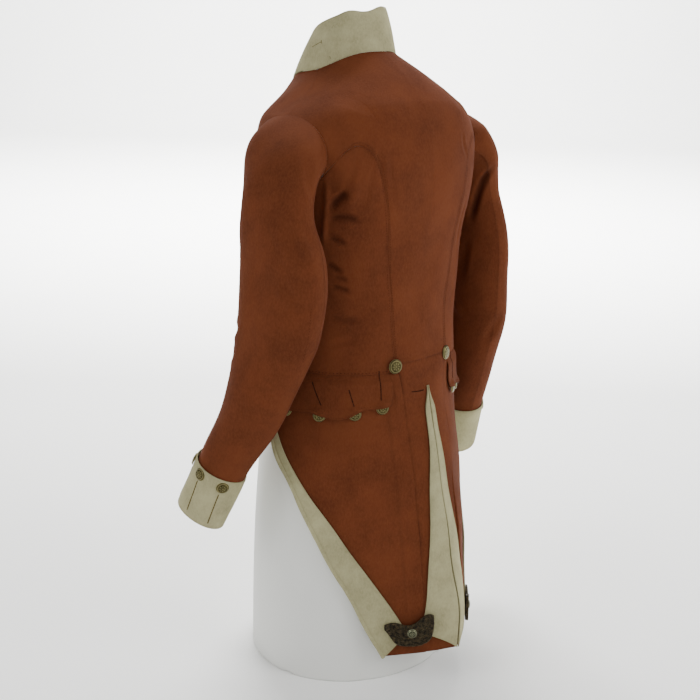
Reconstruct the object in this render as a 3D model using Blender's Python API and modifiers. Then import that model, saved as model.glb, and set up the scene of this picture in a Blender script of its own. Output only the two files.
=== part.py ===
# Uniform tailcoat, standing on its limbless dress form.
# Metres, +Z up. The wearer faces -Y and the wearer's left is +X.
# The origin is the centre of the form's flat base.
#
# The coat's body is one smooth surface, read by an angle (0 at the centre back,
# 90 at the side, 180 at the centre front) and by a level (the height at the
# centre back). Each cut piece is a stretch of that surface with its own wall,
# and what lies on a piece is the same surface moved out.

from math import asin, cos, degrees, pi, radians, sin

import bmesh
import bpy
from mathutils import Matrix, Vector

# Cloth and fit
CLOTH = 0.0020
COLLAR_CLOTH = 0.0026
SEAM_GAP = 0.0003
MERGE_GRID = 0.00001
LAYER_GAP = 0.0008
SLEEVE_SEAM = 0.0006

# Levels of the body
HEM_LEVEL = 0.0555
HEM_CORNER_DROP = 0.0119
VENT_TOP = 0.405
SIDE_WAIST = 0.4275
BACK_WAIST = 0.439
SEAM_FIRST_LEVEL = 0.455
SEAM_ROWS = 9
BLADE_LEVEL = 0.690
BLADE_CREST = 40.0
NECK_LEVEL = 0.831
BACK_COLUMNS = (0.0, 0.27, 0.52, 0.77, 1.0)

# Armhole, an oval on the body surface
ARMHOLE_ANGLE = 85.0
ARMHOLE_HALF_ANGLE = 27.0
ARMHOLE_LEVEL = 0.715
ARMHOLE_HALF_HEIGHT = 0.055
ROUND_STEPS = 20
SEAM_STEP = 360.0 / ROUND_STEPS
ARMHOLE_BACK_CORNER = -2 * SEAM_STEP
BACK_ARMHOLE_STEPS = 7
UNDER_ARMHOLE_STEPS = 8
FRONT_ARMHOLE_STEPS = 5
SHOULDER_STEPS = 4
CHEST_COLUMNS = 6
NECK_SEAM_ANGLE = 74.0
CHEST_ANGLE = ARMHOLE_ANGLE + ARMHOLE_HALF_ANGLE

# Sleeve and cuff
HIND_SEAM = -SEAM_STEP
FORE_SEAM = 180.0 + SEAM_STEP
HEAD_RINGS = 4
HEAD_BACK_LEAN = 0.35
HEAD_UNDER_DROP = 0.45
HEAD_UNDER_FULLNESS = 0.95
HEAD_LEFT = (0.95, -0.30)
HEAD_RIGHT = (1.25, 0.05)
SLEEVE_RINGS = 12
FIRST_RING_REACH = 0.5
CUFF_LENGTH = 0.077
CUFF_FLARE = 0.0006
CUFF_RINGS = 3
CUFF_SEARCH_ROWS = 4
CUFF_OVERHANG = 0.0015
CUFF_SKEW = 0.0100
CUFF_SKEW_TURN = 135.0
SLEEVE_SETBACK = 0.003
CUFF_BUTTONS_LEFT = ((0.845, 30.0), (0.865, 87.0), (0.880, 141.0))
CUFF_BUTTONS_RIGHT = ((0.845, 50.0), (0.865, 105.0), (0.880, 160.0))

# Tail
PLEAT_FOLD_RADIUS = 0.0024
PLEAT_DEPTH = 0.022
VENT_HALF_GAP = 0.0020
VENT_PARTING = 0.06
TAIL_ROWS = 13
STRIP_COLUMNS = 3
SKIRT_COLUMNS = 9
TURNBACK_OUT = LAYER_GAP + CLOTH

# Pocket flap
FLAP_TOP = SIDE_WAIST - 0.0030

# Buttons
HIP_BUTTON_RADIUS = 0.0095
SMALL_BUTTON_RADIUS = 0.0082
BUTTON_DOME = 0.0030
BUTTON_STAND = 0.0012
BUTTON_STEPS = 9
FLAP_BUTTON_STAND = CLOTH + 2 * LAYER_GAP
SHANK_RADIUS = 0.0022
FRONT_BUTTONS = 6
FRONT_BUTTON_LOWEST = 0.462
FRONT_BUTTON_PITCH = 0.054
FRONT_BUTTON_INSET = 0.013

# Tail ornament
ORNAMENT_WALL = 0.0026
ORNAMENT_COLUMNS = 12
BOSS_RADIUS = 0.0062
BOSS_ANGLE = 28.2
BOSS_LEVEL = 0.0826
BOSS_STAND = 0.0005

# Body sections: level at the centre back, how far the side and the front
# hang below it, half width, back and front reach, and squareness (2 is oval)
BODY = (
    # level  side   front  half    back     front    square
    (0.055, 0.000, 0.000, 0.180, 0.204, -0.204, 1.20),
    (0.118, 0.000, 0.000, 0.179, 0.199, -0.199, 1.25),
    (0.175, 0.000, 0.000, 0.177, 0.184, -0.184, 1.36),
    (0.227, 0.000, 0.000, 0.174, 0.171, -0.171, 1.42),
    (0.300, 0.000, 0.000, 0.166, 0.155, -0.155, 1.50),
    (0.357, 0.000, 0.000, 0.155, 0.139, -0.133, 1.60),
    (0.405, 0.000, 0.000, 0.145, 0.128, -0.108, 1.78),
    (0.437, 0.000, 0.000, 0.138, 0.121, -0.098, 2.00),
    (0.500, 0.000, 0.000, 0.137, 0.115, -0.097, 2.10),
    (0.554, 0.000, 0.000, 0.141, 0.115, -0.101, 2.15),
    (0.600, 0.000, 0.000, 0.147, 0.118, -0.106, 2.20),
    (0.645, 0.000, 0.000, 0.152, 0.122, -0.110, 2.30),
    (0.690, 0.000, 0.002, 0.156, 0.124, -0.111, 2.40),
    (0.730, 0.006, 0.012, 0.156, 0.118, -0.108, 2.40),
    (0.765, 0.015, 0.025, 0.147, 0.104, -0.105, 2.30),
    (0.790, 0.021, 0.039, 0.120, 0.083, -0.108, 2.20),
    (0.812, 0.025, 0.050, 0.092, 0.057, -0.109, 2.10),
    (0.831, 0.028, 0.061, 0.070, 0.028, -0.110, 2.00),
)

# Side-back seam: level and angle, from the hip button up to the shoulder blade
BACK_SEAM = (
    # level  angle
    (0.4275, 19.3),
    (0.500, 21.0),
    (0.560, 22.4),
    (0.610, 23.6),
    (0.655, 25.2),
    (0.690, 27.0),
)

# The same seam where it arches over the blade into the armhole
BLADE_ARCH = (
    # angle level
    (27.0, 0.690),
    (30.0, 0.708),
    (34.5, 0.721),
    (40.0, 0.725),
    (46.0, 0.719),
    (51.5, 0.708),
)

# Lines of the tail, each as level and angle: the pleat, the cutaway front edge,
# and the free edge of the turnback that lies along each opening
PLEAT_LINE = (
    (0.057, 23.4),
    (0.127, 23.3),
    (0.181, 21.3),
    (0.231, 20.4),
    (0.294, 20.0),
    (0.358, 19.6),
    (0.418, 19.2),
    (0.439, 19.9),
)
TAIL_FRONT_EDGE = (
    (0.0436, 37.2),
    (0.082, 41.9),
    (0.118, 46.1),
    (0.153, 50.3),
    (0.204, 57.4),
    (0.250, 64.7),
    (0.287, 72.0),
    (0.329, 84.5),
    (0.346, 92.0),
    (0.375, 103.0),
    (0.400, 112.0),
    (0.4275, 120.0),
)
FRONT_TURNBACK = (
    (0.080, 29.6),
    (0.097, 32.0),
    (0.155, 40.6),
    (0.198, 47.3),
    (0.248, 57.5),
    (0.282, 65.6),
    (0.344, 83.5),
    (0.372, 99.5),
)
REAR_TURNBACK = (
    (0.080, 24.6),
    (0.109, 23.2),
    (0.150, 20.2),
    (0.181, 17.6),
    (0.220, 15.0),
    (0.259, 12.6),
    (0.307, 9.4),
    (0.339, 7.2),
    (0.372, 6.3),
    (0.390, 5.0),
    (0.4045, 2.3),
)

# Lower edge of the pocket flap, and the buttons under its points
FLAP_EDGE = (
    # angle level
    (24.2, 0.4020),
    (26.2, 0.3860),
    (31.0, 0.3838),
    (36.0, 0.3822),
    (40.8, 0.3812),
    (44.0, 0.3768),
    (47.5, 0.3702),
    (52.5, 0.3668),
    (57.0, 0.3715),
    (60.7, 0.3740),
    (65.1, 0.3768),
    (70.0, 0.3752),
    (75.1, 0.3746),
    (80.5, 0.3762),
    (86.0, 0.3775),
    (92.0, 0.3850),
    (94.5, 0.4000),
)
FLAP_BUTTONS = ((31.0, 0.3790), (44.0, 0.3720), (60.7, 0.3692), (80.5, 0.3714))
HIP_BUTTON = (20.7, 0.4365)

# Tail ornament: angle, upper and lower level of the winged shape
ORNAMENT = (
    # angle top    bottom
    (19.8, 0.1070, 0.0960),
    (21.0, 0.1085, 0.0760),
    (23.9, 0.1056, 0.0670),
    (26.8, 0.0959, 0.0634),
    (30.0, 0.0923, 0.0632),
    (33.2, 0.0957, 0.0650),
    (35.0, 0.0962, 0.0745),
    (37.2, 0.0925, 0.0880),
)

# Sleeves: the middle of each ring, its half width across and its half depth
SLEEVE_LEFT = (
    # x      y       z      across  deep
    (0.188, 0.044, 0.640, 0.0340, 0.0520),
    (0.187, 0.048, 0.600, 0.0350, 0.0600),
    (0.186, 0.052, 0.555, 0.0370, 0.0640),
    (0.187, 0.050, 0.510, 0.0390, 0.0600),
    (0.191, 0.041, 0.468, 0.0395, 0.0540),
    (0.198, 0.030, 0.425, 0.0390, 0.0480),
    (0.206, 0.016, 0.385, 0.0370, 0.0430),
    (0.215, 0.000, 0.345, 0.0340, 0.0375),
    (0.224, -0.021, 0.307, 0.0320, 0.0335),
    (0.240, -0.046, 0.235, 0.0315, 0.0325),
)
SLEEVE_RIGHT = (
    (0.186, 0.028, 0.640, 0.0340, 0.0500),
    (0.187, 0.034, 0.600, 0.0350, 0.0570),
    (0.188, 0.041, 0.555, 0.0370, 0.0590),
    (0.189, 0.045, 0.510, 0.0385, 0.0570),
    (0.190, 0.046, 0.468, 0.0390, 0.0540),
    (0.193, 0.041, 0.425, 0.0385, 0.0500),
    (0.197, 0.032, 0.385, 0.0370, 0.0455),
    (0.201, 0.023, 0.347, 0.0345, 0.0400),
    (0.208, 0.012, 0.306, 0.0330, 0.0355),
    (0.218, -0.004, 0.236, 0.0320, 0.0330),
)

# Top edge of the collar: angle, the wearer's left being positive, and height
COLLAR_TOP = (
    (-158.0, 0.844),
    (-130.0, 0.853),
    (-90.0, 0.870),
    (-55.0, 0.884),
    (-30.0, 0.8865),
    (-11.6, 0.8883),
    (3.0, 0.8840),
    (17.9, 0.8804),
    (31.0, 0.8815),
    (44.7, 0.8828),
    (58.7, 0.8768),
    (78.0, 0.8706),
    (100.0, 0.863),
    (130.0, 0.851),
    (158.0, 0.842),
)
COLLAR_END_ANGLE = 158.0
COLLAR_TOP_HALF_WIDTH = 0.050
COLLAR_TOP_BACK = 0.012
COLLAR_TOP_FRONT = -0.080
COLLAR_BULGE = 0.0022
COLLAR_SEAM = 0.0004
COLLAR_FRONT_LIFT = 0.0012
COLLAR_ROWS = 4
COLLAR_COLUMNS = 26

# Form below the coat's waist: height, half width, back and front reach
FORM_COLUMN = (
    (0.000, 0.1565, 0.1390, -0.1310),
    (0.010, 0.1570, 0.1395, -0.1315),
    (0.100, 0.1570, 0.1390, -0.1310),
    (0.175, 0.1550, 0.1370, -0.1300),
    (0.227, 0.1520, 0.1340, -0.1280),
    (0.300, 0.1470, 0.1290, -0.1240),
    (0.357, 0.1385, 0.1210, -0.1150),
    (0.405, 0.1310, 0.1150, -0.1010),
)

# Form inside the coat: level, and the air left between it and the cloth
FORM_TORSO = (
    (0.439, 0.0065),
    (0.500, 0.0040),
    (0.554, 0.0040),
    (0.600, 0.0040),
    (0.645, 0.0040),
    (0.690, 0.0040),
    (0.730, 0.0035),
    (0.755, 0.0020),
    (0.772, 0.0016),
    (0.790, 0.0016),
    (0.805, 0.0028),
    (0.818, 0.0045),
    (0.831, 0.0060),
)
FORM_NECK = (
    # z      half    back    front
    (0.8400, 0.0430, 0.0080, -0.0730),
    (0.8500, 0.0415, 0.0060, -0.0710),
    (0.8570, 0.0350, 0.0000, -0.0650),
    (0.8600, 0.0220, -0.0130, -0.0520),
)
FORM_STEPS = 32


def read_table(table, key, column):
    # Smooth value of one column of a table at a key, held flat past its ends
    keys = [row[0] for row in table]
    values = [row[column] for row in table]
    if key <= keys[0]:
        return values[0]
    if key >= keys[-1]:
        return values[-1]
    i = max(k for k in range(len(keys) - 1) if keys[k] <= key)

    def slope(k):
        lo, hi = max(k - 1, 0), min(k + 1, len(keys) - 1)
        return (values[hi] - values[lo]) / (keys[hi] - keys[lo])

    span = keys[i + 1] - keys[i]
    t = (key - keys[i]) / span
    a, b = values[i], values[i + 1]
    return (
        a * (2 * t**3 - 3 * t**2 + 1)
        + b * (3 * t**2 - 2 * t**3)
        + slope(i) * span * (t**3 - 2 * t**2 + t)
        + slope(i + 1) * span * (t**3 - t**2)
    )


def power(value, exponent):
    return abs(value) ** exponent * (1 if value >= 0 else -1)


def oval(angle, half_width, back, front, square=2.0):
    # Point of a plan oval; the angle turns from the back to the left side
    c, s = cos(radians(angle)), sin(radians(angle))
    middle = (back + front) / 2
    reach = (back - front) / 2
    return half_width * power(s, 2 / square), middle + reach * power(c, 2 / square)


def surface(angle, level):
    side, front, half, back_y, front_y, square = (
        read_table(BODY, level, column) for column in range(1, 7)
    )
    if angle > 90:
        square = max(square, 2.0)
    x, y = oval(angle, half, back_y, front_y, square)
    s = sin(radians(angle))
    drop = side * s**3
    if angle > 90:
        drop = front + (side - front) * s**2
    return Vector((x, y, level - drop))


def body(angle, level, out=0.0):
    # Point of the coat's body surface, moved out along the surface's normal
    step_angle, step_level = 0.4, 0.0010
    before, after = max(angle - step_angle, 0), min(angle + step_angle, 180)
    across = surface(after, level) - surface(before, level)
    up = surface(angle, level + step_level) - surface(angle, level - step_level)
    normal = up.cross(across).normalized()
    return surface(angle, level) + normal * out


def metres_to_angle(angle, level, distance):
    # Angle that spans a distance along the surface at that place
    step = (surface(angle + 1, level) - surface(angle - 1, level)).length / 2
    return distance / step


def middle_angle(level, distance):
    # Angle whose point stands a short distance out from the middle of the back
    half, square = read_table(BODY, level, 3), read_table(BODY, level, 6)
    return degrees(asin((distance / half) ** (square / 2)))


def spread(first, last, count):
    return [first + (last - first) * i / count for i in range(count + 1)]


def armhole(turn):
    # Armhole point: 0 at the back, 90 at the top, 180 at the front, -90 below
    t = radians(turn)
    return (
        ARMHOLE_ANGLE - ARMHOLE_HALF_ANGLE * cos(t),
        ARMHOLE_LEVEL + ARMHOLE_HALF_HEIGHT * sin(t),
    )


def make_material(name, hex_colour, roughness, metallic=0.0):
    material = bpy.data.materials.new(name)
    material.use_nodes = True
    shader = material.node_tree.nodes["Principled BSDF"]
    channels = [int(hex_colour[i : i + 2], 16) / 255 for i in (0, 2, 4)]
    linear = [c / 12.92 if c < 0.04045 else ((c + 0.055) / 1.055) ** 2.4 for c in channels]
    shader.inputs["Base Color"].default_value = (*linear, 1)
    shader.inputs["Roughness"].default_value = roughness
    shader.inputs["Metallic"].default_value = metallic
    return material


def add_object(name, mesh, material):
    mesh.materials.append(material)
    piece = bpy.data.objects.new(name, mesh)
    coat.objects.link(piece)
    return piece


def wall_mesh(name, sheets, flip):
    # Closed wall from pairs of grids, outer and inner, whose rows run up the cloth
    bm = bmesh.new()
    outer_of, inner_of = {}, {}

    def corner(outer_point, inner_point):
        key = tuple(round(c / MERGE_GRID) for c in outer_point)
        if key not in outer_of:
            outer_of[key] = bm.verts.new(outer_point)
            inner_of[outer_of[key]] = bm.verts.new(inner_point)
        return outer_of[key]

    faces = []
    for outer, inner in sheets:
        rows = [[corner(p, q) for p, q in zip(*pair)] for pair in zip(outer, inner)]
        for low, high in zip(rows, rows[1:]):
            for i in range(len(low) - 1):
                faces.append(bm.faces.new((low[i], high[i], high[i + 1], low[i + 1])))
    rim = [edge.link_loops[0] for edge in bm.edges if edge.is_boundary]
    rim = [(loop.vert, loop.link_loop_next.vert) for loop in rim]
    for face in faces:
        bm.faces.new([inner_of[v] for v in reversed(face.verts)])
    for a, b in rim:
        bm.faces.new((b, a, inner_of[a], inner_of[b]))
    if flip:
        bmesh.ops.reverse_faces(bm, faces=bm.faces)
    mesh = bpy.data.meshes.new(name)
    bm.to_mesh(mesh)
    bm.free()
    mesh.shade_smooth()
    return mesh


def mirror(vector, side):
    return Vector((side * vector.x, vector.y, vector.z))


def cloth(name, sheets, material, side=1):
    # A cut piece, made for the wearer's left and mirrored for the right
    mirrored = [[[[mirror(p, side) for p in row] for row in grid] for grid in pair] for pair in sheets]
    return add_object(name, wall_mesh(name, mirrored, side < 0), material)


def on_body(rows, out=0.0, wall=CLOTH):
    return [[[body(angle, level, d) for angle, level in row] for row in rows] for d in (out, out - wall)]


def shoulder_seam(level):
    top_angle, top_level = armhole(90)
    t = (level - top_level) / (NECK_LEVEL - top_level)
    return top_angle + (NECK_SEAM_ANGLE - top_angle) * t


def seam_levels(*lowest):
    return [*lowest, *spread(SEAM_FIRST_LEVEL, BLADE_LEVEL, SEAM_ROWS)]


def blend(a, b, t):
    return a + (b - a) * t


def half_gap(angle, level):
    return metres_to_angle(angle, level, SEAM_GAP / 2)


def arch_side(way):
    # The arch drawn half a seam's gap to the front panel's side, 1, or the back's, -1
    points = []
    for a, v in BLADE_ARCH[1:]:
        lean = (a < BLADE_CREST) - (a > BLADE_CREST)
        points.append((a + way * lean * half_gap(a, v), v - way * SEAM_GAP / 2))
    return points


def shoulder_edge():
    # Points of the shoulder seam from the armhole's top to the neck
    top_level = armhole(90)[1]
    return [(shoulder_seam(level), level) for level in spread(top_level, NECK_LEVEL, SHOULDER_STEPS)]


def back_panel(side, label):
    # The side-back seam bounds it below, then its arch, the armhole and the shoulder
    lower = []
    for level in seam_levels(BACK_WAIST + SEAM_GAP / 2):
        seam = read_table(BACK_SEAM, level, 1)
        first, last = middle_angle(level, SEAM_GAP / 2), seam - half_gap(seam, level)
        lower.append([(blend(first, last, f), level) for f in BACK_COLUMNS])

    arch = arch_side(-1)
    corner_angle, corner_level = armhole(ARMHOLE_BACK_CORNER)
    corner_level += SEAM_GAP / 2
    bottom = [*lower[-1], *arch, (corner_angle, corner_level)]
    edge = [armhole(turn) for turn in spread(ARMHOLE_BACK_CORNER, 90, BACK_ARMHOLE_STEPS)[:-1]]
    edge += [(a - half_gap(a, v), v) for a, v in shoulder_edge()]
    top_level = NECK_LEVEL - SEAM_GAP / 2
    upper = [bottom]
    for edge_angle, edge_level in edge[1:]:
        t = min((edge_level - corner_level) / (top_level - corner_level), 1)
        row = []
        for angle, level in bottom:
            here = blend(level, top_level, t)
            row.append((blend(middle_angle(here, SEAM_GAP / 2), edge_angle, angle / corner_angle), here))
        upper.append(row)
    return cloth(f"back_{label}", [on_body(lower), on_body(upper)], red_cloth, side)


def front_panel(side, label):
    # A stretch under the arm from the side-back seam, and a chest stretch to the middle
    top = [BLADE_ARCH[0], *arch_side(1)]
    top += [armhole(turn) for turn in spread(ARMHOLE_BACK_CORNER, -180, UNDER_ARMHOLE_STEPS)]
    levels = seam_levels(SIDE_WAIST + SEAM_GAP / 2, BACK_WAIST + SEAM_GAP / 2)
    under_arm = []
    for level in levels:
        t = (level - levels[0]) / (levels[-1] - levels[0])
        seam = read_table(BACK_SEAM, level, 1)
        seam += half_gap(seam, level)
        row = []
        for top_angle, top_level in top:
            f = (top_angle - top[0][0]) / (CHEST_ANGLE - top[0][0])
            row.append((blend(seam, CHEST_ANGLE, f), blend(levels[0], top_level, t)))
        under_arm.append(row)

    chest_edge = [row[-1] for row in under_arm]
    chest_edge += [armhole(turn) for turn in spread(180, 90, FRONT_ARMHOLE_STEPS)[1:-1]]
    chest_edge += [(a + half_gap(a, v), v - SEAM_GAP / 2) for a, v in shoulder_edge()]
    chest = []
    for angle, level in chest_edge:
        centre = 180 - middle_angle(level, SEAM_GAP / 2)
        chest.append([(blend(angle, centre, f), level) for f in spread(0, 1, CHEST_COLUMNS)])
    return cloth(f"front_{label}", [on_body(under_arm), on_body(chest)], red_cloth, side)


def hermite(p0, p1, t0, t1, t):
    return (
        p0 * (2 * t**3 - 3 * t**2 + 1)
        + p1 * (3 * t**2 - 2 * t**3)
        + t0 * (t**3 - 2 * t**2 + t)
        + t1 * (t**3 - t**2)
    )


def sleeve_ring(table, position):
    # Ring at a position counted in table rows: middle, across and deep axes
    keyed = [(i, *row) for i, row in enumerate(table)]
    x, y, z, across, deep = (read_table(keyed, position, c) for c in range(1, 6))
    ahead, behind = (
        Vector([read_table(keyed, p, c) for c in (1, 2, 3)])
        for p in (min(position + 0.25, len(table) - 1), max(position - 0.25, 0))
    )
    along = (ahead - behind).normalized()
    if position < FIRST_RING_REACH:
        along = along.lerp(Vector((0, 0, -1)), 1 - position / FIRST_RING_REACH).normalized()
    side_axis = Vector((1, 0, 0))
    side_axis = (side_axis - along * side_axis.dot(along)).normalized()
    back_axis = side_axis.cross(along)
    return Vector((x, y, z)), side_axis * across, back_axis * deep


def sleeve_point(table, position, turn, out=0.0):
    # Turn 0 is the back of the arm, 90 its outer side, 180 its front
    middle, across, deep = sleeve_ring(table, position)
    c, s = cos(radians(turn)), sin(radians(turn))
    normal = across.normalized() * (s / across.length) + deep.normalized() * (c / deep.length)
    return middle + across * s + deep * c + normal.normalized() * out


def head_point(table, head, turn, t):
    # Sleeve head: from the armhole's edge out and down to the arm's first ring
    fullness, rise = head
    seam = body(*armhole(turn))
    arm = sleeve_point(table, 0, turn)
    c, s = cos(radians(turn)), sin(radians(turn))
    drop = rise * max(s, 0) - HEAD_UNDER_DROP * max(-s, 0)
    leave = Vector((1.0, HEAD_BACK_LEAN * c, drop)).normalized()
    reach = (arm - seam).length * blend(HEAD_UNDER_FULLNESS, fullness, max(s, 0))
    return hermite(seam + leave * SEAM_GAP, arm, leave * reach, Vector((0, 0, -reach)), t)


def cuff_position(table, distance):
    # Table position that lies a distance up from the sleeve's end
    last = len(table) - 1
    end = sleeve_ring(table, last)[0]
    low, high = last - CUFF_SEARCH_ROWS, last
    for _ in range(30):
        middle = (low + high) / 2
        if (sleeve_ring(table, middle)[0] - end).length > distance:
            low = middle
        else:
            high = middle
    return (low + high) / 2


def sleeve_tube(table, head, turns):
    # Rings of the whole sleeve, and the same rings moved in by the cloth's thickness
    rings = [[head_point(table, head, turn, t) for turn in turns] for t in spread(0, 1, HEAD_RINGS)]
    last = cuff_position(table, CUFF_SKEW + SLEEVE_SETBACK)
    for position in spread(0, last, SLEEVE_RINGS)[1:]:
        rings.append([sleeve_point(table, position, turn) for turn in turns])
    rings.reverse()
    inner = []
    for k, ring in enumerate(rings):
        below, above = rings[max(k - 1, 0)], rings[min(k + 1, len(rings) - 1)]
        row = []
        for i, point in enumerate(ring):
            across = ring[(i + 1) % len(ring)] - ring[i - 1]
            row.append(point - (above[i] - below[i]).cross(across).normalized() * CLOTH)
        inner.append(row)
    return rings, inner


def seam_shift(row, shape):
    # Draw both ends of a row in by half a seam's gap, measured on another row
    first = (shape[1] - shape[0]).normalized() * (SLEEVE_SEAM / 2)
    last = (shape[-2] - shape[-1]).normalized() * (SLEEVE_SEAM / 2)
    return [row[0] + first, *row[1:-1], row[-1] + last]


def sleeve(side, table, head, label):
    turns = [HIND_SEAM + SEAM_STEP * i for i in range(ROUND_STEPS)]
    seam = round((FORE_SEAM - HIND_SEAM) / SEAM_STEP)
    tube = sleeve_tube(table, head, turns)
    for part, first, last in (("upper", 0, seam), ("under", seam, ROUND_STEPS)):
        outer, inner = [
            [[row[i % ROUND_STEPS] for i in range(first, last + 1)] for row in grid] for grid in tube
        ]
        inner = [seam_shift(row, shape) for row, shape in zip(inner, outer)]
        outer = [seam_shift(row, row) for row in outer]
        cloth(f"sleeve_{part}_{label}", [(outer, inner)], red_cloth, side)


def cuff_point(table, height, turn, out=0.0):
    # Height runs from the mouth of the cuff, 0, to its upper edge, 1
    base = LAYER_GAP + CLOTH + CUFF_FLARE * height
    point = sleeve_point(table, cuff_position(table, CUFF_LENGTH * height), turn, base + out)
    across, deep = sleeve_ring(table, len(table) - 1)[1:]
    down = deep.cross(across).normalized()
    skew = CUFF_SKEW * (1 + cos(radians(turn - CUFF_SKEW_TURN))) / 2
    return point + down * (CUFF_OVERHANG - skew) * (1 - height)


def cuff(side, table, label):
    turns = spread(0, 360, ROUND_STEPS)
    heights = spread(0, 1, CUFF_RINGS)
    walls = [[[cuff_point(table, h, turn, d) for turn in turns] for h in heights] for d in (0, -CLOTH)]
    return cloth(f"cuff_{label}", [walls], buff_cloth, side)


def hem_level(angle):
    # The hem drops a little from the middle of the back to the tail's front corner
    return HEM_LEVEL - HEM_CORNER_DROP * (angle / TAIL_FRONT_EDGE[0][1]) ** 2


def skirt_side(side, label):
    # From under the pleat, round its fold and on to the cutaway front edge
    top = SIDE_WAIST - SEAM_GAP / 2
    radius = PLEAT_FOLD_RADIUS
    hem_pleat, hem_edge = PLEAT_LINE[0][1], TAIL_FRONT_EDGE[0][1]
    outer, inner = [], []
    for t in spread(0, 1, TAIL_ROWS):
        level = blend(hem_level(hem_pleat), top, t)
        pleat = read_table(PLEAT_LINE, level, 1)
        edge = read_table(TAIL_FRONT_EDGE, blend(hem_level(hem_edge), top, t), 1)
        degree = 1 / metres_to_angle(pleat, level, 1.0)
        for grid, bend in ((outer, radius), (inner, radius - CLOTH)):
            under = [pleat + PLEAT_DEPTH / degree * f for f in (1.0, 0.5)]
            row = [body(angle, level, -radius - bend) for angle in under]
            for turn in spread(180, 0, 4):
                c, s = cos(radians(turn)), sin(radians(turn))
                row.append(body(pleat - bend * s / degree, level, bend * c - radius))
            for f in spread(0, 1, SKIRT_COLUMNS)[1:]:
                low = hem_level(blend(hem_pleat, hem_edge, f))
                row.append(body(blend(pleat, edge, f), blend(low, top, t), bend - radius))
            grid.append(row)
    return cloth(f"skirt_side_{label}", [(outer, inner)], red_cloth, side)


def vent_angle(level):
    # The two tails are sewn together above the vent and part below it
    opening = min(max((VENT_TOP - level) / VENT_PARTING, 0), 1)
    return middle_angle(level, blend(SEAM_GAP / 2, VENT_HALF_GAP, opening))


def skirt_back(side, label):
    top = BACK_WAIST - SEAM_GAP / 2
    hem_pleat = PLEAT_LINE[0][1]
    rows = []
    for level in spread(HEM_LEVEL, VENT_TOP, TAIL_ROWS - 1) + [top]:
        t = (level - HEM_LEVEL) / (top - HEM_LEVEL)
        pleat = read_table(PLEAT_LINE, level, 1)
        edge = pleat - metres_to_angle(pleat, level, PLEAT_FOLD_RADIUS + SEAM_GAP)
        first = vent_angle(level)
        rows.append([
            (blend(first, edge, f), blend(hem_level(hem_pleat * f), top, t)) for f in spread(0, 1, 4)
        ])
    return cloth(f"skirt_back_{label}", [on_body(rows)], red_cloth, side)


def turnback(name, side, inner_table, outer_angle, foot_level, inner_first):
    # A long triangle turned out over an edge, its foot running up to the ornament
    low, high = inner_table[0][0], inner_table[-1][0]
    rows = []
    for t in spread(0, 1, TAIL_ROWS):
        inner_level, outer_level = blend(low, high, t), blend(foot_level, high, t)
        ends = [
            (read_table(inner_table, inner_level, 1), inner_level),
            (outer_angle(outer_level), outer_level),
        ]
        if not inner_first:
            ends.reverse()
        (a0, v0), (a1, v1) = ends
        rows.append([(blend(a0, a1, f), blend(v0, v1, f)) for f in spread(0, 1, STRIP_COLUMNS)])
    return cloth(name, [on_body(rows, TURNBACK_OUT)], buff_cloth, side)


def tail_front_angle(level):
    return read_table(TAIL_FRONT_EDGE, level, 1)


def turnbacks(side, label):
    corner_level = TAIL_FRONT_EDGE[0][0]
    turnback(f"turnback_front_{label}", side, FRONT_TURNBACK, tail_front_angle, corner_level, True)
    turnback(f"turnback_rear_{label}", side, REAR_TURNBACK, vent_angle, HEM_LEVEL, False)


def flap(side, label):
    rows = [[(a, blend(v, FLAP_TOP, t)) for a, v in FLAP_EDGE] for t in spread(0, 1, 3)]
    return cloth(f"pocket_flap_{label}", [on_body(rows, LAYER_GAP + CLOTH)], red_cloth, side)


def collar_point(angle, t):
    # Standing collar, leaning in from the neck seam, 0, to its top edge, 1
    turn = abs(angle)
    seam = COLLAR_SEAM + COLLAR_FRONT_LIFT * sin(radians(turn / 2)) ** 2
    low = surface(turn, NECK_LEVEL) + Vector((0, 0, seam))
    x, y = oval(turn, COLLAR_TOP_HALF_WIDTH, COLLAR_TOP_BACK, COLLAR_TOP_FRONT)
    point = low.lerp(Vector((x, y, read_table(COLLAR_TOP, angle, 1))), t)
    middle = Vector((0, (COLLAR_TOP_BACK + COLLAR_TOP_FRONT) / 2, point.z))
    point += (point - middle).normalized() * COLLAR_BULGE * sin(pi * t)
    return mirror(point, 1 if angle > 0 else -1)


def collar(name):
    outer, inner = [], []
    for t in spread(0, 1, COLLAR_ROWS):
        outer.append([])
        inner.append([])
        for angle in spread(-COLLAR_END_ANGLE, COLLAR_END_ANGLE, COLLAR_COLUMNS):
            point = collar_point(angle, t)
            across = collar_point(angle + 0.5, t) - collar_point(angle - 0.5, t)
            up = collar_point(angle, t + 0.02) - collar_point(angle, t - 0.02)
            outer[-1].append(point)
            inner[-1].append(point - up.cross(across).normalized() * COLLAR_CLOTH)
    return cloth(name, [(outer, inner)], buff_cloth)


def aim(point, normal):
    # Placement whose Z axis is a seat's outward normal
    return Matrix.Translation(point) @ normal.to_track_quat("Z", "Y").to_matrix().to_4x4()


def button_mesh(name, radius, stand):
    # Half section of a turned metal button: domed cap, rolled rim and shank
    bm = bmesh.new()
    profile = (
        (0.0, stand + BUTTON_DOME),
        (radius * 0.55, stand + BUTTON_DOME * 0.86),
        (radius * 0.90, stand + BUTTON_DOME * 0.52),
        (radius, stand + BUTTON_DOME * 0.22),
        (radius * 0.93, stand),
        (SHANK_RADIUS, stand),
        (SHANK_RADIUS, 0.0),
        (0.0, 0.0),
    )
    verts = [bm.verts.new((x, 0, z)) for x, z in profile]
    for a, b in zip(verts, verts[1:]):
        bm.edges.new((a, b))
    mesh = bpy.data.meshes.new(name)
    bm.to_mesh(mesh)
    bm.free()
    return mesh


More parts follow.
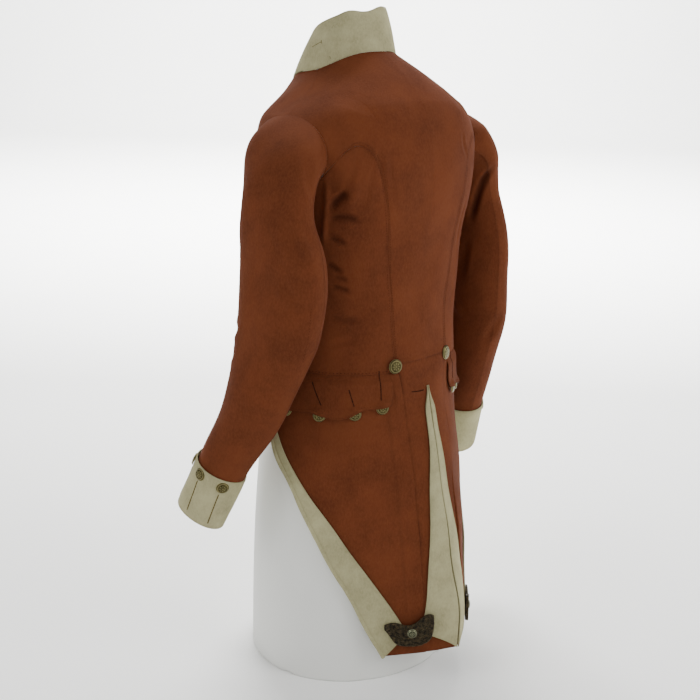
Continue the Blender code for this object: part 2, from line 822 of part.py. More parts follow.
def button(name, seat, radius, stand=BUTTON_STAND):
    point, normal = seat
    piece = add_object(name, button_mesh(name, radius, stand), brass)
    turn = piece.modifiers.new("turned", "SCREW")
    turn.steps = turn.render_steps = BUTTON_STEPS
    turn.use_merge_vertices = True
    turn.merge_threshold = 0.0001
    turn.use_normal_calculate = True
    piece.matrix_world = aim(point + normal * SEAM_GAP, normal)
    return piece


def body_seat(angle, level, out, side):
    point = body(angle, level, out)
    normal = (body(angle, level, out + 0.01) - point).normalized()
    return mirror(point, side), mirror(normal, side)


def cuff_seat(table, height, turn, side):
    point = cuff_point(table, height, turn)
    normal = (cuff_point(table, height, turn, 0.01) - point).normalized()
    return mirror(point, side), mirror(normal, side)


def body_buttons(side, label):
    button(f"button_hip_{label}", body_seat(*HIP_BUTTON, 0.0, side), HIP_BUTTON_RADIUS)
    for i, (angle, level) in enumerate(FLAP_BUTTONS):
        seat = body_seat(angle, level, 0.0, side)
        button(f"button_flap_{label}_{i + 1}", seat, SMALL_BUTTON_RADIUS, FLAP_BUTTON_STAND)


def cuff_buttons(side, table, places, label):
    for i, (height, turn) in enumerate(places):
        button(f"button_cuff_{label}_{i + 1}", cuff_seat(table, height, turn, side), SMALL_BUTTON_RADIUS)


def front_buttons():
    for i in range(FRONT_BUTTONS):
        level = FRONT_BUTTON_LOWEST + FRONT_BUTTON_PITCH * i
        angle = 180 - middle_angle(level, FRONT_BUTTON_INSET)
        button(f"button_front_{i + 1}", body_seat(angle, level, 0.0, -1), SMALL_BUTTON_RADIUS)


def ornament(side, label):
    # Padded winged badge laid over the feet of both turnbacks
    out = TURNBACK_OUT + LAYER_GAP + ORNAMENT_WALL
    angles = spread(ORNAMENT[0][0], ORNAMENT[-1][0], ORNAMENT_COLUMNS)
    ends = [(a, read_table(ORNAMENT, a, 2), read_table(ORNAMENT, a, 1)) for a in angles]
    rows = [[(a, blend(low, high, t)) for a, low, high in ends] for t in spread(0, 1, 3)]
    cloth(f"ornament_{label}", [on_body(rows, out, ORNAMENT_WALL)], bullion, side)
    button(f"ornament_boss_{label}", body_seat(BOSS_ANGLE, BOSS_LEVEL, out, side), BOSS_RADIUS, BOSS_STAND)


def flat_ring(table_row, angles):
    z, half, back, front = table_row
    return [Vector((*oval(a, half, back, front), z)) for a in angles]


def dress_form(name):
    angles = spread(0, 360, FORM_STEPS)[:-1]
    rings = [flat_ring(row, angles) for row in FORM_COLUMN]
    for level, air in FORM_TORSO:
        ring = [body(min(a, 360 - a), level, -CLOTH - air) for a in angles]
        rings.append([mirror(point, 1 if a <= 180 else -1) for point, a in zip(ring, angles)])
    rings += [flat_ring(row, angles) for row in FORM_NECK]
    bm = bmesh.new()
    loops = [[bm.verts.new(p) for p in ring] for ring in rings]
    for low, high in zip(loops, loops[1:]):
        for i in range(len(low)):
            j = (i + 1) % len(low)
            bm.faces.new((low[i], high[i], high[j], low[j]))
    bm.faces.new(loops[0])
    bm.faces.new(loops[-1][::-1])
    mesh = bpy.data.meshes.new(name)
    bm.to_mesh(mesh)
    bm.free()
    mesh.shade_smooth()
    return add_object(name, mesh, form_cover)


for old in list(bpy.data.objects):
    bpy.data.objects.remove(old, do_unlink=True)

coat = bpy.data.collections.new("uniform_tailcoat")
bpy.context.scene.collection.children.link(coat)

red_cloth = make_material("brick_red_broadcloth", "8A4228", 0.90)
buff_cloth = make_material("buff_broadcloth", "B8AD8C", 0.88)
brass = make_material("tarnished_brass", "8A7F5A", 0.42, 0.9)
bullion = make_material("tarnished_bullion", "3F3A30", 0.60, 0.5)
form_cover = make_material("white_form_cover", "E6E6E4", 0.75)

dress_form("dress_form")
for side, label, arm, head, cuff_places in (
    (1, "left", SLEEVE_LEFT, HEAD_LEFT, CUFF_BUTTONS_LEFT),
    (-1, "right", SLEEVE_RIGHT, HEAD_RIGHT, CUFF_BUTTONS_RIGHT),
):
    back_panel(side, label)
    front_panel(side, label)
    sleeve(side, arm, head, label)
    cuff(side, arm, label)
    skirt_side(side, label)
    skirt_back(side, label)
    turnbacks(side, label)
    flap(side, label)
    body_buttons(side, label)
    cuff_buttons(side, arm, cuff_places, label)
    ornament(side, label)
collar("collar")
front_buttons()
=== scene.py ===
from itertools import groupby
from math import cos, pi, radians, sin, sqrt

import bmesh
import bpy
import numpy as np
from mathutils import Matrix, Vector
from mathutils.bvhtree import BVHTree
from mathutils.kdtree import KDTree


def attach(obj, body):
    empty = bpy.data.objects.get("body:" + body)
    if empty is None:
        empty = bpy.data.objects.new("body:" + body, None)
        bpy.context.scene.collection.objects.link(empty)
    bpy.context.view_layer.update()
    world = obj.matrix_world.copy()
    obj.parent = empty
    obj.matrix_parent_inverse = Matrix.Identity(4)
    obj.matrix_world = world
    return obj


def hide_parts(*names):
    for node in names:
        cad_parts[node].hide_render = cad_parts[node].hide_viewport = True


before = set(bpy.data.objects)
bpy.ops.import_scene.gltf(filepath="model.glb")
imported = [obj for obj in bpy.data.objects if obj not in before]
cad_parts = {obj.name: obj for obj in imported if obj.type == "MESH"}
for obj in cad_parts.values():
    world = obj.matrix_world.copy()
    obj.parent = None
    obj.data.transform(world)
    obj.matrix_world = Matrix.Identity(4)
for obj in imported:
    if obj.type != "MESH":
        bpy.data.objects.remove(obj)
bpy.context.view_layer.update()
print("frame loaded:", len(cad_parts), "nodes")

# In metres: the cloth's wall, the gap under a piece laid on another, the waist's
# level at the back and at the side, and the level from which the armholes rise
clothWall = 0.0020
layerGap = 0.0008
laidOut = layerGap + clothWall
backWaist = 0.439
sideWaist = 0.4275
armholeLow = 0.66

# Body sections: level at the centre back, how far the side and the front hang
# below it, half width, back and front reach, squareness
bodySections = (
    (0.055, 0.000, 0.000, 0.180, 0.204, -0.204, 1.20),
    (0.118, 0.000, 0.000, 0.179, 0.199, -0.199, 1.25),
    (0.175, 0.000, 0.000, 0.177, 0.184, -0.184, 1.36),
    (0.227, 0.000, 0.000, 0.174, 0.171, -0.171, 1.42),
    (0.300, 0.000, 0.000, 0.166, 0.155, -0.155, 1.50),
    (0.357, 0.000, 0.000, 0.155, 0.139, -0.133, 1.60),
    (0.405, 0.000, 0.000, 0.145, 0.128, -0.108, 1.78),
    (0.437, 0.000, 0.000, 0.138, 0.121, -0.098, 2.00),
    (0.500, 0.000, 0.000, 0.137, 0.115, -0.097, 2.10),
    (0.554, 0.000, 0.000, 0.141, 0.115, -0.101, 2.15),
    (0.600, 0.000, 0.000, 0.147, 0.118, -0.106, 2.20),
    (0.645, 0.000, 0.000, 0.152, 0.122, -0.110, 2.30),
    (0.690, 0.000, 0.002, 0.156, 0.124, -0.111, 2.40),
    (0.730, 0.006, 0.012, 0.156, 0.118, -0.108, 2.40),
    (0.765, 0.015, 0.025, 0.147, 0.104, -0.105, 2.30),
    (0.790, 0.021, 0.039, 0.120, 0.083, -0.108, 2.20),
    (0.812, 0.025, 0.050, 0.092, 0.057, -0.109, 2.10),
    (0.831, 0.028, 0.061, 0.070, 0.028, -0.110, 2.00),
)

# Sleeve rings: middle x, y, z, half width across and half depth
sleeveRings = {
    "left": (
        (0.188, 0.044, 0.640, 0.0340, 0.0520),
        (0.187, 0.048, 0.600, 0.0350, 0.0600),
        (0.186, 0.052, 0.555, 0.0370, 0.0640),
        (0.187, 0.050, 0.510, 0.0390, 0.0600),
        (0.191, 0.041, 0.468, 0.0395, 0.0540),
        (0.198, 0.030, 0.425, 0.0390, 0.0480),
        (0.206, 0.016, 0.385, 0.0370, 0.0430),
        (0.215, 0.000, 0.345, 0.0340, 0.0375),
        (0.224, -0.021, 0.307, 0.0320, 0.0335),
        (0.240, -0.046, 0.235, 0.0315, 0.0325),
    ),
    "right": (
        (0.186, 0.028, 0.640, 0.0340, 0.0500),
        (0.187, 0.034, 0.600, 0.0350, 0.0570),
        (0.188, 0.041, 0.555, 0.0370, 0.0590),
        (0.189, 0.045, 0.510, 0.0385, 0.0570),
        (0.190, 0.046, 0.468, 0.0390, 0.0540),
        (0.193, 0.041, 0.425, 0.0385, 0.0500),
        (0.197, 0.032, 0.385, 0.0370, 0.0455),
        (0.201, 0.023, 0.347, 0.0345, 0.0400),
        (0.208, 0.012, 0.306, 0.0330, 0.0355),
        (0.218, -0.004, 0.236, 0.0320, 0.0330),
    ),
}
sides = {"left": 1, "right": -1}


def readTable(table, key, column):
    keys = [row[0] for row in table]
    values = [row[column] for row in table]
    if key <= keys[0]:
        return values[0]
    if key >= keys[-1]:
        return values[-1]
    i = max(k for k in range(len(keys) - 1) if keys[k] <= key)

    def slope(k):
        lo, hi = max(k - 1, 0), min(k + 1, len(keys) - 1)
        return (values[hi] - values[lo]) / (keys[hi] - keys[lo])

    span = keys[i + 1] - keys[i]
    t = (key - keys[i]) / span
    flat = values[i] * (2 * t**3 - 3 * t**2 + 1) + values[i + 1] * (3 * t**2 - 2 * t**3)
    return flat + slope(i) * span * (t**3 - 2 * t**2 + t) + slope(i + 1) * span * (t**3 - t**2)


def signedPower(value, exponent):
    return abs(value) ** exponent * (1 if value >= 0 else -1)


def surface(angle, level):
    side, front, half, backY, frontY, square = (readTable(bodySections, level, c) for c in range(1, 7))
    if angle > 90:
        square = max(square, 2.0)
    c, s = cos(radians(angle)), sin(radians(angle))
    x = half * signedPower(s, 2 / square)
    y = (backY + frontY) / 2 + (backY - frontY) / 2 * signedPower(c, 2 / square)
    drop = side * s**3
    if angle > 90:
        drop = front + (side - front) * s**2
    return Vector((x, y, level - drop))


def body(angle, level, out=0.0):
    # angle 0 is the centre back, 90 the side and 180 the centre front
    across = surface(min(angle + 0.4, 180), level) - surface(max(angle - 0.4, 0), level)
    up = surface(angle, level + 0.001) - surface(angle, level - 0.001)
    return surface(angle, level) + up.cross(across).normalized() * out


def sleeveRing(table, position):
    keyed = [(i, *row) for i, row in enumerate(table)]
    x, y, z, across, deep = (readTable(keyed, position, c) for c in range(1, 6))
    ahead, behind = (
        Vector([readTable(keyed, p, c) for c in (1, 2, 3)])
        for p in (min(position + 0.25, len(table) - 1), max(position - 0.25, 0))
    )
    along = (ahead - behind).normalized()
    sideAxis = Vector((1, 0, 0))
    sideAxis = (sideAxis - along * sideAxis.dot(along)).normalized()
    backAxis = sideAxis.cross(along)
    return Vector((x, y, z)), sideAxis * across, backAxis * deep


def sleevePoint(table, position, turn, out=0.0):
    # turn 0 is the back of the arm, 90 its outer side, 180 its front
    middle, across, deep = sleeveRing(table, position)
    c, s = cos(radians(turn)), sin(radians(turn))
    normal = across.normalized() * (s / across.length) + deep.normalized() * (c / deep.length)
    return middle + across * s + deep * c + normal.normalized() * out


cuffShape = {"tall": 0.077, "flare": 0.0006, "drop": 0.0015, "skew": 0.010, "skewTurn": 135}


def cuffPoint(table, height, turn, out=0.0):
    # height runs from the cuff's mouth, 0, to its upper edge, 1
    last = len(table) - 1
    end = sleeveRing(table, last)[0]
    low, high = last - 4, last
    for _ in range(30):
        middle = (low + high) / 2
        if (sleeveRing(table, middle)[0] - end).length > cuffShape["tall"] * height:
            low = middle
        else:
            high = middle
    base = laidOut + cuffShape["flare"] * height
    point = sleevePoint(table, (low + high) / 2, turn, base + out)
    across, deep = sleeveRing(table, last)[1:]
    skew = cuffShape["skew"] * (1 + cos(radians(turn - cuffShape["skewTurn"]))) / 2
    return point + deep.cross(across).normalized() * (cuffShape["drop"] - skew) * (1 - height)


def mirrored(point, side):
    return Vector((side * point.x, point.y, point.z))


def spread(first, last, count):
    return [first + (last - first) * i / count for i in range(count + 1)]


def smoothPath(points, count):
    # even points on a soft curve through the given ones
    points = [Vector(p) for p in points]
    if len(points) == 2:
        return [points[0].lerp(points[1], t) for t in spread(0, 1, count)]
    keyed = [(i, *p) for i, p in enumerate(points)]
    return [Vector([readTable(keyed, t, c) for c in (1, 2, 3)]) for t in spread(0, len(points) - 1, count)]


def setNode(tree, node, settings=None, links=None):
    # a link comes from a socket, or from a node's first output
    for key, value in (settings or {}).items():
        if isinstance(key, int) or key in node.inputs:
            node.inputs[key].default_value = value
        else:
            setattr(node, key, value)
    for key, source in (links or {}).items():
        socket = source.outputs[0] if isinstance(source, bpy.types.Node) else source
        tree.links.new(socket, node.inputs[key])
    return node


def addNode(tree, kind, settings=None, links=None):
    return setNode(tree, tree.nodes.new(kind), settings, links)


def linearColour(hexText):
    channels = [int(hexText[i : i + 2], 16) / 255 for i in (0, 2, 4)]
    return (*[c / 12.92 if c < 0.04045 else ((c + 0.055) / 1.055) ** 2.4 for c in channels], 1)


def newMaterial(name):
    # a node material with its tree, its shader and the object's own coordinates
    material = bpy.data.materials.new(name)
    material.use_nodes = True
    tree = material.node_tree
    place = addNode(tree, "ShaderNodeTexCoord").outputs["Object"]
    return material, tree, tree.nodes["Principled BSDF"], place


def blendColours(tree, amount, first, second):
    # first and second are sRGB hex colours or a link's source
    settings, links = {"data_type": "RGBA"}, {0: amount}
    for key, value in ((6, first), (7, second)):
        if isinstance(value, str):
            settings[key] = linearColour(value)
        else:
            links[key] = value
    return addNode(tree, "ShaderNodeMix", settings, links).outputs[2]


def fulledWool(name, look):
    # broadcloth: wool woven, fulled and brushed, so a short nap hides the weave
    # and the light falls off softly with no gloss
    material, tree, shader, place = newMaterial(name)
    # the nap is brushed downwards, so its tufts are longer than wide
    stretch = {"Scale": (1.0, 1.0, look["napStretch"])}
    brushed = addNode(tree, "ShaderNodeMapping", stretch, {"Vector": place})
    grains = []
    for size, detail, rough, vector in (
        ("patchSize", 3.0, 0.6, place),
        ("napSize", 4.0, 0.7, brushed),
        ("fibreSize", 2.0, 0.6, brushed),
    ):
        settings = {"Scale": 1 / look[size], "Detail": detail, "Roughness": rough}
        grains.append(addNode(tree, "ShaderNodeTexNoise", settings, {"Vector": vector}))
    patches, nap, fibres = grains
    steep = {"From Min": 0.32, "From Max": 0.68}
    patchAmount = addNode(tree, "ShaderNodeMapRange", steep, {"Value": patches})
    colour = blendColours(tree, patchAmount, look["dark"], look["light"])
    steep = {"From Min": 0.35, "From Max": 0.65, "To Max": look["napShow"]}
    napAmount = addNode(tree, "ShaderNodeMapRange", steep, {"Value": nap})
    colour = blendColours(tree, napAmount, colour, look["tuft"])
    # seams and edges hold dust and handling; the same map also carries painted shade in the hollows of deep
    # folds
    edge = addNode(tree, "ShaderNodeAttribute", {"attribute_name": "edge"}).outputs["Fac"]
    soilAndShadeAmount = addNode(tree, "ShaderNodeMath", {"operation": "MULTIPLY", 1: look["edgeShow"]}, {0: edge})
    colour = blendColours(tree, soilAndShadeAmount, colour, look["soilAndShadeTone"])
    # the tufts stand coarse, with fine fibres over them
    relief = look["relief"]
    coarse = addNode(tree, "ShaderNodeBump", {"Strength": relief, "Distance": 0.0008}, {"Height": nap})
    fine = addNode(
        tree,
        "ShaderNodeBump",
        {"Strength": relief, "Distance": 0.0003},
        {"Height": fibres, "Normal": coarse},
    )
    finish = {
        "Roughness": look["roughness"],
        "Sheen Weight": look["sheen"],
        "Sheen Roughness": 0.45,
        "Sheen Tint": linearColour(look["tuft"]),
        "Specular IOR Level": 0.1,
    }
    setNode(tree, shader, finish, {"Base Color": colour, "Normal": fine})
    return material


# Sizes in metres; tufts are drawn a little coarser than real so that they show
redWool = fulledWool(
    "red_fulled_broadcloth",
    {
        "dark": "502714", "light": "60311A", "tuft": "6D3C25", "soilAndShadeTone": "2C1209",
        "patchSize": 0.055, "napSize": 0.0021, "napStretch": 0.5, "napShow": 0.35,
        "fibreSize": 0.0007, "edgeShow": 0.62, "roughness": 0.92, "sheen": 0.07, "relief": 0.35,
    },
)
buffWool = fulledWool(
    "buff_fulled_broadcloth",
    {
        "dark": "898463", "light": "A19C78", "tuft": "AFA986", "soilAndShadeTone": "7D7658",
        "patchSize": 0.030, "napSize": 0.0024, "napStretch": 0.6, "napShow": 0.40,
        "fibreSize": 0.0008, "edgeShow": 0.55, "roughness": 0.93, "sheen": 0.12, "relief": 0.30,
    },
)


def twistedThread(name, dark, light):
    # waxed linen and silk thread: dull, with a light and a dark side to each ply
    material, tree, shader, place = newMaterial(name)
    plies = addNode(tree, "ShaderNodeTexNoise", {"Scale": 900.0, "Detail": 1.0}, {"Vector": place})
    colour = blendColours(tree, plies, dark, light)
    setNode(tree, shader, {"Roughness": 0.9, "Specular IOR Level": 0.1}, {"Base Color": colour})
    return material


redThread = twistedThread("red_linen_thread", "381809", "55260F")
darkThread = twistedThread("dark_red_buttonhole_silk", "220F07", "3A1B0C")
brownThread = twistedThread("brown_buttonhole_silk", "4A3C22", "6E5E3C")
buffThread = twistedThread("buff_linen_thread", "857E60", "A09A7C")


def agedMetal(name, look):
    # die-struck brass, handled for years: brown tarnish in the hollows, the
    # raised rims rubbed back to a dull yellow and lightened further as painted highlight
    material, tree, shader, place = newMaterial(name)
    grain = {"Scale": 1 / look["cloudSize"], "Detail": 4.0, "Roughness": 0.6}
    clouds = addNode(tree, "ShaderNodeTexNoise", grain, {"Vector": place})
    steep = {"From Min": 0.35, "From Max": 0.65}
    cloudAmount = addNode(tree, "ShaderNodeMapRange", steep, {"Value": clouds})
    colour = blendColours(tree, cloudAmount, look["tarnish"], look["brass"])
    # the raised border, rosette and rim: partly rubbed wear, partly painted highlight
    raised = addNode(tree, "ShaderNodeAttribute", {"attribute_name": "edge"}).outputs["Fac"]
    colour = blendColours(tree, raised, colour, look["rubbedAndHighlit"])
    polish = {"To Min": look["roughest"], "To Max": look["smoothest"]}
    roughness = addNode(tree, "ShaderNodeMapRange", polish, {"Value": cloudAmount})
    dints = {"Strength": 0.3, "Distance": 0.0002}
    bump = addNode(tree, "ShaderNodeBump", dints, {"Height": clouds})
    links = {"Base Color": colour, "Roughness": roughness, "Normal": bump}
    setNode(tree, shader, {"Metallic": look["metallic"]}, links)
    return material


oldBrass = agedMetal(
    "tarnished_die_struck_brass",
    {
        "tarnish": "23200F", "brass": "504A2C", "rubbedAndHighlit": "8C8259",
        "cloudSize": 0.004, "roughest": 0.58, "smoothest": 0.34, "metallic": 1.0,
    },
)
bossBronze = agedMetal(
    "blackened_bronze_boss",
    {
        "tarnish": "181B13", "brass": "2F3122", "rubbedAndHighlit": "9A9A7E",
        "cloudSize": 0.003, "roughest": 0.5, "smoothest": 0.3, "metallic": 1.0,
    },
)
oldBullion = agedMetal(
    "tarnished_bullion_purl",
    {
        "tarnish": "140F09", "brass": "51452D", "rubbedAndHighlit": "7A6F52",
        "cloudSize": 0.0032, "roughest": 0.7, "smoothest": 0.45, "metallic": 0.6,
    },
)


def smoothCover():
    # bleached cotton jersey stretched over padding: even, matt and nearly white
    material, tree, shader, place = newMaterial("white_cotton_jersey")
    knit, clouds = (
        addNode(tree, "ShaderNodeTexNoise", {"Scale": scale, "Detail": 2.0}, {"Vector": place})
        for scale in (1400.0, 7.0)
    )
    colour = blendColours(tree, clouds, "D9DAD5", "E3E3DF")
    ribs = {"Strength": 0.12, "Distance": 0.0003}
    bump = addNode(tree, "ShaderNodeBump", ribs, {"Height": knit})
    finish = {"Roughness": 0.8, "Specular IOR Level": 0.25}
    setNode(tree, shader, finish, {"Base Color": colour, "Normal": bump})
    return material


formCover = smoothCover()
print("materials made")

# Seams and edges on the body, as angle and level
sideBackSeam = (
    (19.3, 0.4275), (21.0, 0.500), (22.4, 0.560), (23.6, 0.610), (25.2, 0.655), (27.0, 0.690),
)
bladeArch = ((27.0, 0.690), (30.0, 0.708), (34.5, 0.721), (40.0, 0.725), (46.0, 0.719), (51.5, 0.708))
tailFrontEdge = (
    (37.2, 0.0436), (41.9, 0.082), (46.1, 0.118), (50.3, 0.153), (57.4, 0.204),
    (64.7, 0.250), (72.0, 0.287), (84.5, 0.329), (92.0, 0.346), (99.5, 0.372),
)
frontTurnbackEdge = (
    (29.6, 0.080), (32.0, 0.097), (40.6, 0.155), (47.3, 0.198),
    (57.5, 0.248), (65.6, 0.282), (83.5, 0.344), (99.5, 0.372),
)
rearTurnbackEdge = (
    (24.6, 0.080), (23.2, 0.109), (20.2, 0.150), (17.6, 0.181), (15.0, 0.220), (12.6, 0.259),
    (9.4, 0.307), (7.2, 0.339), (6.3, 0.372), (5.0, 0.390), (2.3, 0.4045),
)
flapEdge = (
    (24.2, 0.4020), (26.2, 0.3860), (31.0, 0.3838), (36.0, 0.3822), (40.8, 0.3812), (44.0, 0.3768),
    (47.5, 0.3702), (52.5, 0.3668), (57.0, 0.3715), (60.7, 0.3740), (65.1, 0.3768), (70.0, 0.3752),
    (75.1, 0.3746), (80.5, 0.3762), (86.0, 0.3775), (92.0, 0.3850), (94.5, 0.4000),
)

# Folds that the cloth hangs in, by place: width, depth and points listed along each
# one, in millimetres, and where it isn't plainLip the lip's share of the depth. A
# depth below zero is a ridge
plainLip = 0.45
foldRows = {
    "bodyLeft": (
        (3.6, 3.4, ((131, 70, 631), (118, 85, 634), (97, 99, 627))),
        (3.4, 2.8, ((128, 68, 608), (119, 77, 604), (109, 86, 599))),
        (3.4, 2.8, ((127, 62, 573), (120, 70, 568), (111, 78, 560))),
        (3.2, 2.2, ((121, 67, 558), (113, 75, 554), (106, 82, 551))),
        (3.4, 2.6, ((122, 65, 546), (112, 75, 541), (103, 83, 536))),
        (4.4, 4.4, ((131, 72, 640), (128, 79, 653), (123, 86, 661), (118, 91, 666)), 0.15),
        (3.2, -2.8, ((138, 72, 690), (136, 71, 668), (134, 69, 640), (132, 65, 612), (130, 63, 590)), 0.0),
        (7.0, -2.2, ((117, 87, 637), (114, 94, 660), (106, 101, 686), (95, 105, 710))),
        (4.5, 1.4, ((109, 97, 669), (104, 102, 691), (97, 104, 710))),
        (5.0, 1.0, ((85, 106, 729), (83, 111, 701), (75, 114, 668), (69, 112, 636))),
        (4.0, 0.8, ((70, 114, 714), (67, 116, 674), (63, 115, 642))),
        (4.0, 0.9, ((94, 107, 683), (97, 104, 661), (103, 97, 639))),
        (4.5, 1.8, ((123, 60, 505), (106, 79, 500), (89, 92, 499))),
        (4.5, 1.5, ((122, 61, 467), (106, 79, 471), (91, 91, 477))),
        (3.0, 0.8, ((59, 116, 414), (56, 119, 400), (52, 119, 386))),
    ),
    "bodyRight": (
        (4.0, 0.9, ((-71, 109, 733), (-71, 114, 714), (-85, 111, 693))),
        (5.0, 1.0, ((-87, 107, 644), (-81, 105, 612), (-78, 101, 571))),
        (4.5, 2.2, ((-134, 63, 628), (-122, 75, 622), (-106, 87, 616))),
        (4.2, 1.8, ((-131, 60, 590), (-117, 73, 582), (-101, 87, 577))),
        (4.2, 2.0, ((-127, 60, 552), (-116, 70, 546), (-104, 82, 542))),
    ),
    "sleeveRight": (
        (22.0, -7.0, ((-146, 56, 745), (-152, 69, 728), (-159, 76, 714), (-169, 78, 697),
                     (-175, 78, 680), (-180, 74, 655)), 0.0),
        (5.0, 5.0, ((-179, 78, 683), (-168, 74, 661), (-164, 66, 638), (-158, 62, 612),
                     (-153, 58, 590)), 0.1),
        (5.0, -1.8, ((-152, 39, 476), (-152, 47, 466), (-153, 56, 454))),
        (7.0, 2.2, ((-153, 56, 576), (-152, 54, 536), (-151, 50, 509))),
        (7.0, 1.8, ((-186, 98, 466), (-178, 92, 439), (-173, 83, 419))),
        (6.5, 2.2, ((-222, 18, 512), (-206, 0, 500), (-186, -8, 492), (-166, -2, 488))),
        (6.0, 1.8, ((-222, 8, 474), (-204, -6, 464), (-184, -12, 458))),
    ),
    "sleeveLeft": (
        (30.0, -5.5, ((214, -2, 690), (213, 3, 640), (213, 6, 600), (213, 8, 555),
                     (215, 8, 510), (219, 5, 468), (226, -4, 425)), 0.0),
        (24.0, -5.0, ((163, 82, 630), (163, 88, 600), (162, 92, 555), (161, 90, 520),
                     (163, 80, 480), (168, 70, 450)), 0.0),
        (8.0, 2.4, ((211, 82, 641), (210, 90, 618), (204, 101, 594), (192, 112, 576))),
        (6.0, 1.8, ((218, 82, 567), (213, 95, 552), (206, 105, 541))),
        (6.0, -1.8, ((204, 90, 635), (201, 101, 613), (189, 109, 597))),
        (6.0, 1.8, ((169, 81, 708), (178, 86, 695), (180, 90, 679), (173, 90, 656))),
        (6.5, 2.2, ((222, 18, 500), (206, 2, 488), (186, -8, 480), (166, -2, 476))),
        (6.0, 1.8, ((222, 6, 462), (204, -8, 452), (184, -14, 446))),
    ),
}
folds = [
    {"on": place, "wide": wide, "deep": deep, "lip": lip[0] if lip else plainLip, "path": path}
    for place, rows in foldRows.items()
    for wide, deep, path, *lip in rows
]
# The right tail hangs in one long fold, which runs out over the hem
folds.append(
    {
        "on": "bodyRight",
        "only": ("skirt_back", "turnback_rear"),
        "open": True,
        "wide": 16.0,
        "deep": 3.5,
        "lip": 0.0,
        "path": (
            (-36, 168, 57), (-35, 168, 100), (-31, 164, 150), (-26, 160, 200),
            (-21, 152, 250), (-16, 145, 300), (-12, 138, 340),
        ),
    }
)


def meshFrom(bm, name):
    mesh = bpy.data.meshes.new(name)
    bm.to_mesh(mesh)
    bm.free()
    return mesh


def newPiece(name, mesh, material):
    piece = bpy.data.objects.new(name, mesh)
    bpy.context.scene.collection.objects.link(piece)
    mesh.materials.clear()
    mesh.materials.append(material)
    mesh.shade_smooth()
    return piece


def finished(piece):
    # the piece with its modifiers worked into a plain mesh
    graph = bpy.context.evaluated_depsgraph_get()
    mesh = bpy.data.meshes.new_from_object(piece.evaluated_get(graph))
    piece.modifiers.clear()
    old = piece.data
    piece.data = mesh
    bpy.data.meshes.remove(old)
    mesh.name = piece.name
    return piece


def surfaceTree(piece):
    return BVHTree.FromObject(piece, bpy.context.evaluated_depsgraph_get())


clothLook = {
    "rimAngle": radians(60),
    "edgeRound": 0.0006,  # on a cut edge that shows; a seam takes its share
    "sewnRound": 0.5,
    "leastRound": 0.15,
    "seamDip": 0.00045,
    "seamReach": 0.0040,
    "seamJoin": 0.0015,  # pieces closer than this are sewn together
    "cornerJoin": 0.0036,  # and this round the armholes, where three pieces meet
    "puckerDeep": 0.00016,
    "puckerPitch": 0.0085,
    "puckerReach": 0.0110,
    # the soil along seams and cut edges; the folds add painted shade to the same map
    "soilAndShade": 0.45,
    "soilReach": 0.0045,
    "driftSize": 0.0007,
}


def stemOf(node):
    return node.removesuffix("_left").removesuffix("_right")


def placeOf(node):
    side = "Left" if node.endswith("left") else "Right"
    return ("sleeve" if node.startswith(("sleeve", "cuff")) else "body") + side


def smoothStep(values, low, high):
    t = np.clip((values - low) / (high - low), 0, 1)
    return t * t * (3 - 2 * t)


seamShow = {"plain": 0.4, "pressed": 0.12, "underarm": 0.5, "centreBack": 0.06, "arm": 0.35}


def seamStrength(points):
    # pressed seams hardly show at the centre back, the shoulders and the sleeve
    # heads, and show more under the arm and down the side of the back
    x, y, z = np.abs(points[:, 0]), points[:, 1], points[:, 2]
    strength = np.full(len(points), seamShow["plain"])
    strength[(z > 0.742) & (x > 0.06)] = seamShow["pressed"]
    head = (x > 0.125) & (z > armholeLow)
    low = 1 - smoothStep(z[head], 0.675, 0.715)
    strength[head] = seamShow["pressed"] + seamShow["underarm"] * low
    strength[(x < 0.004) & (y > 0)] = seamShow["centreBack"]
    strength[(x > 0.150) & (z < armholeLow)] = seamShow["arm"]
    return strength


def drift(points):
    # slow unevenness of hanging cloth, the same for every layer
    x, y, z = points.T
    field = np.zeros_like(points)
    field[:, 0] = np.sin(61 * z + 23 * y + 0.4) + 0.6 * np.sin(97 * y - 41 * z + 31 * x + 2.1)
    field[:, 1] = np.sin(53 * z - 37 * x + 1.7) + 0.6 * np.sin(89 * x + 47 * z - 29 * y + 0.9)
    field[:, 2] = 0.4 * np.sin(67 * x + 59 * y + 3.1)
    return field * clothLook["driftSize"]


# In widths of the fold, but for the share of its length over which it fades
foldLook = {"reach": 3.2, "lipAt": 1.6, "lipWide": 0.75, "fade": 0.3}
# A fold deeper and narrower than this, in millimetres, gets painted shade in its hollow, by this amount
foldShadePaint = {"deep": 1.5, "wide": 5.8, "amount": 0.25}


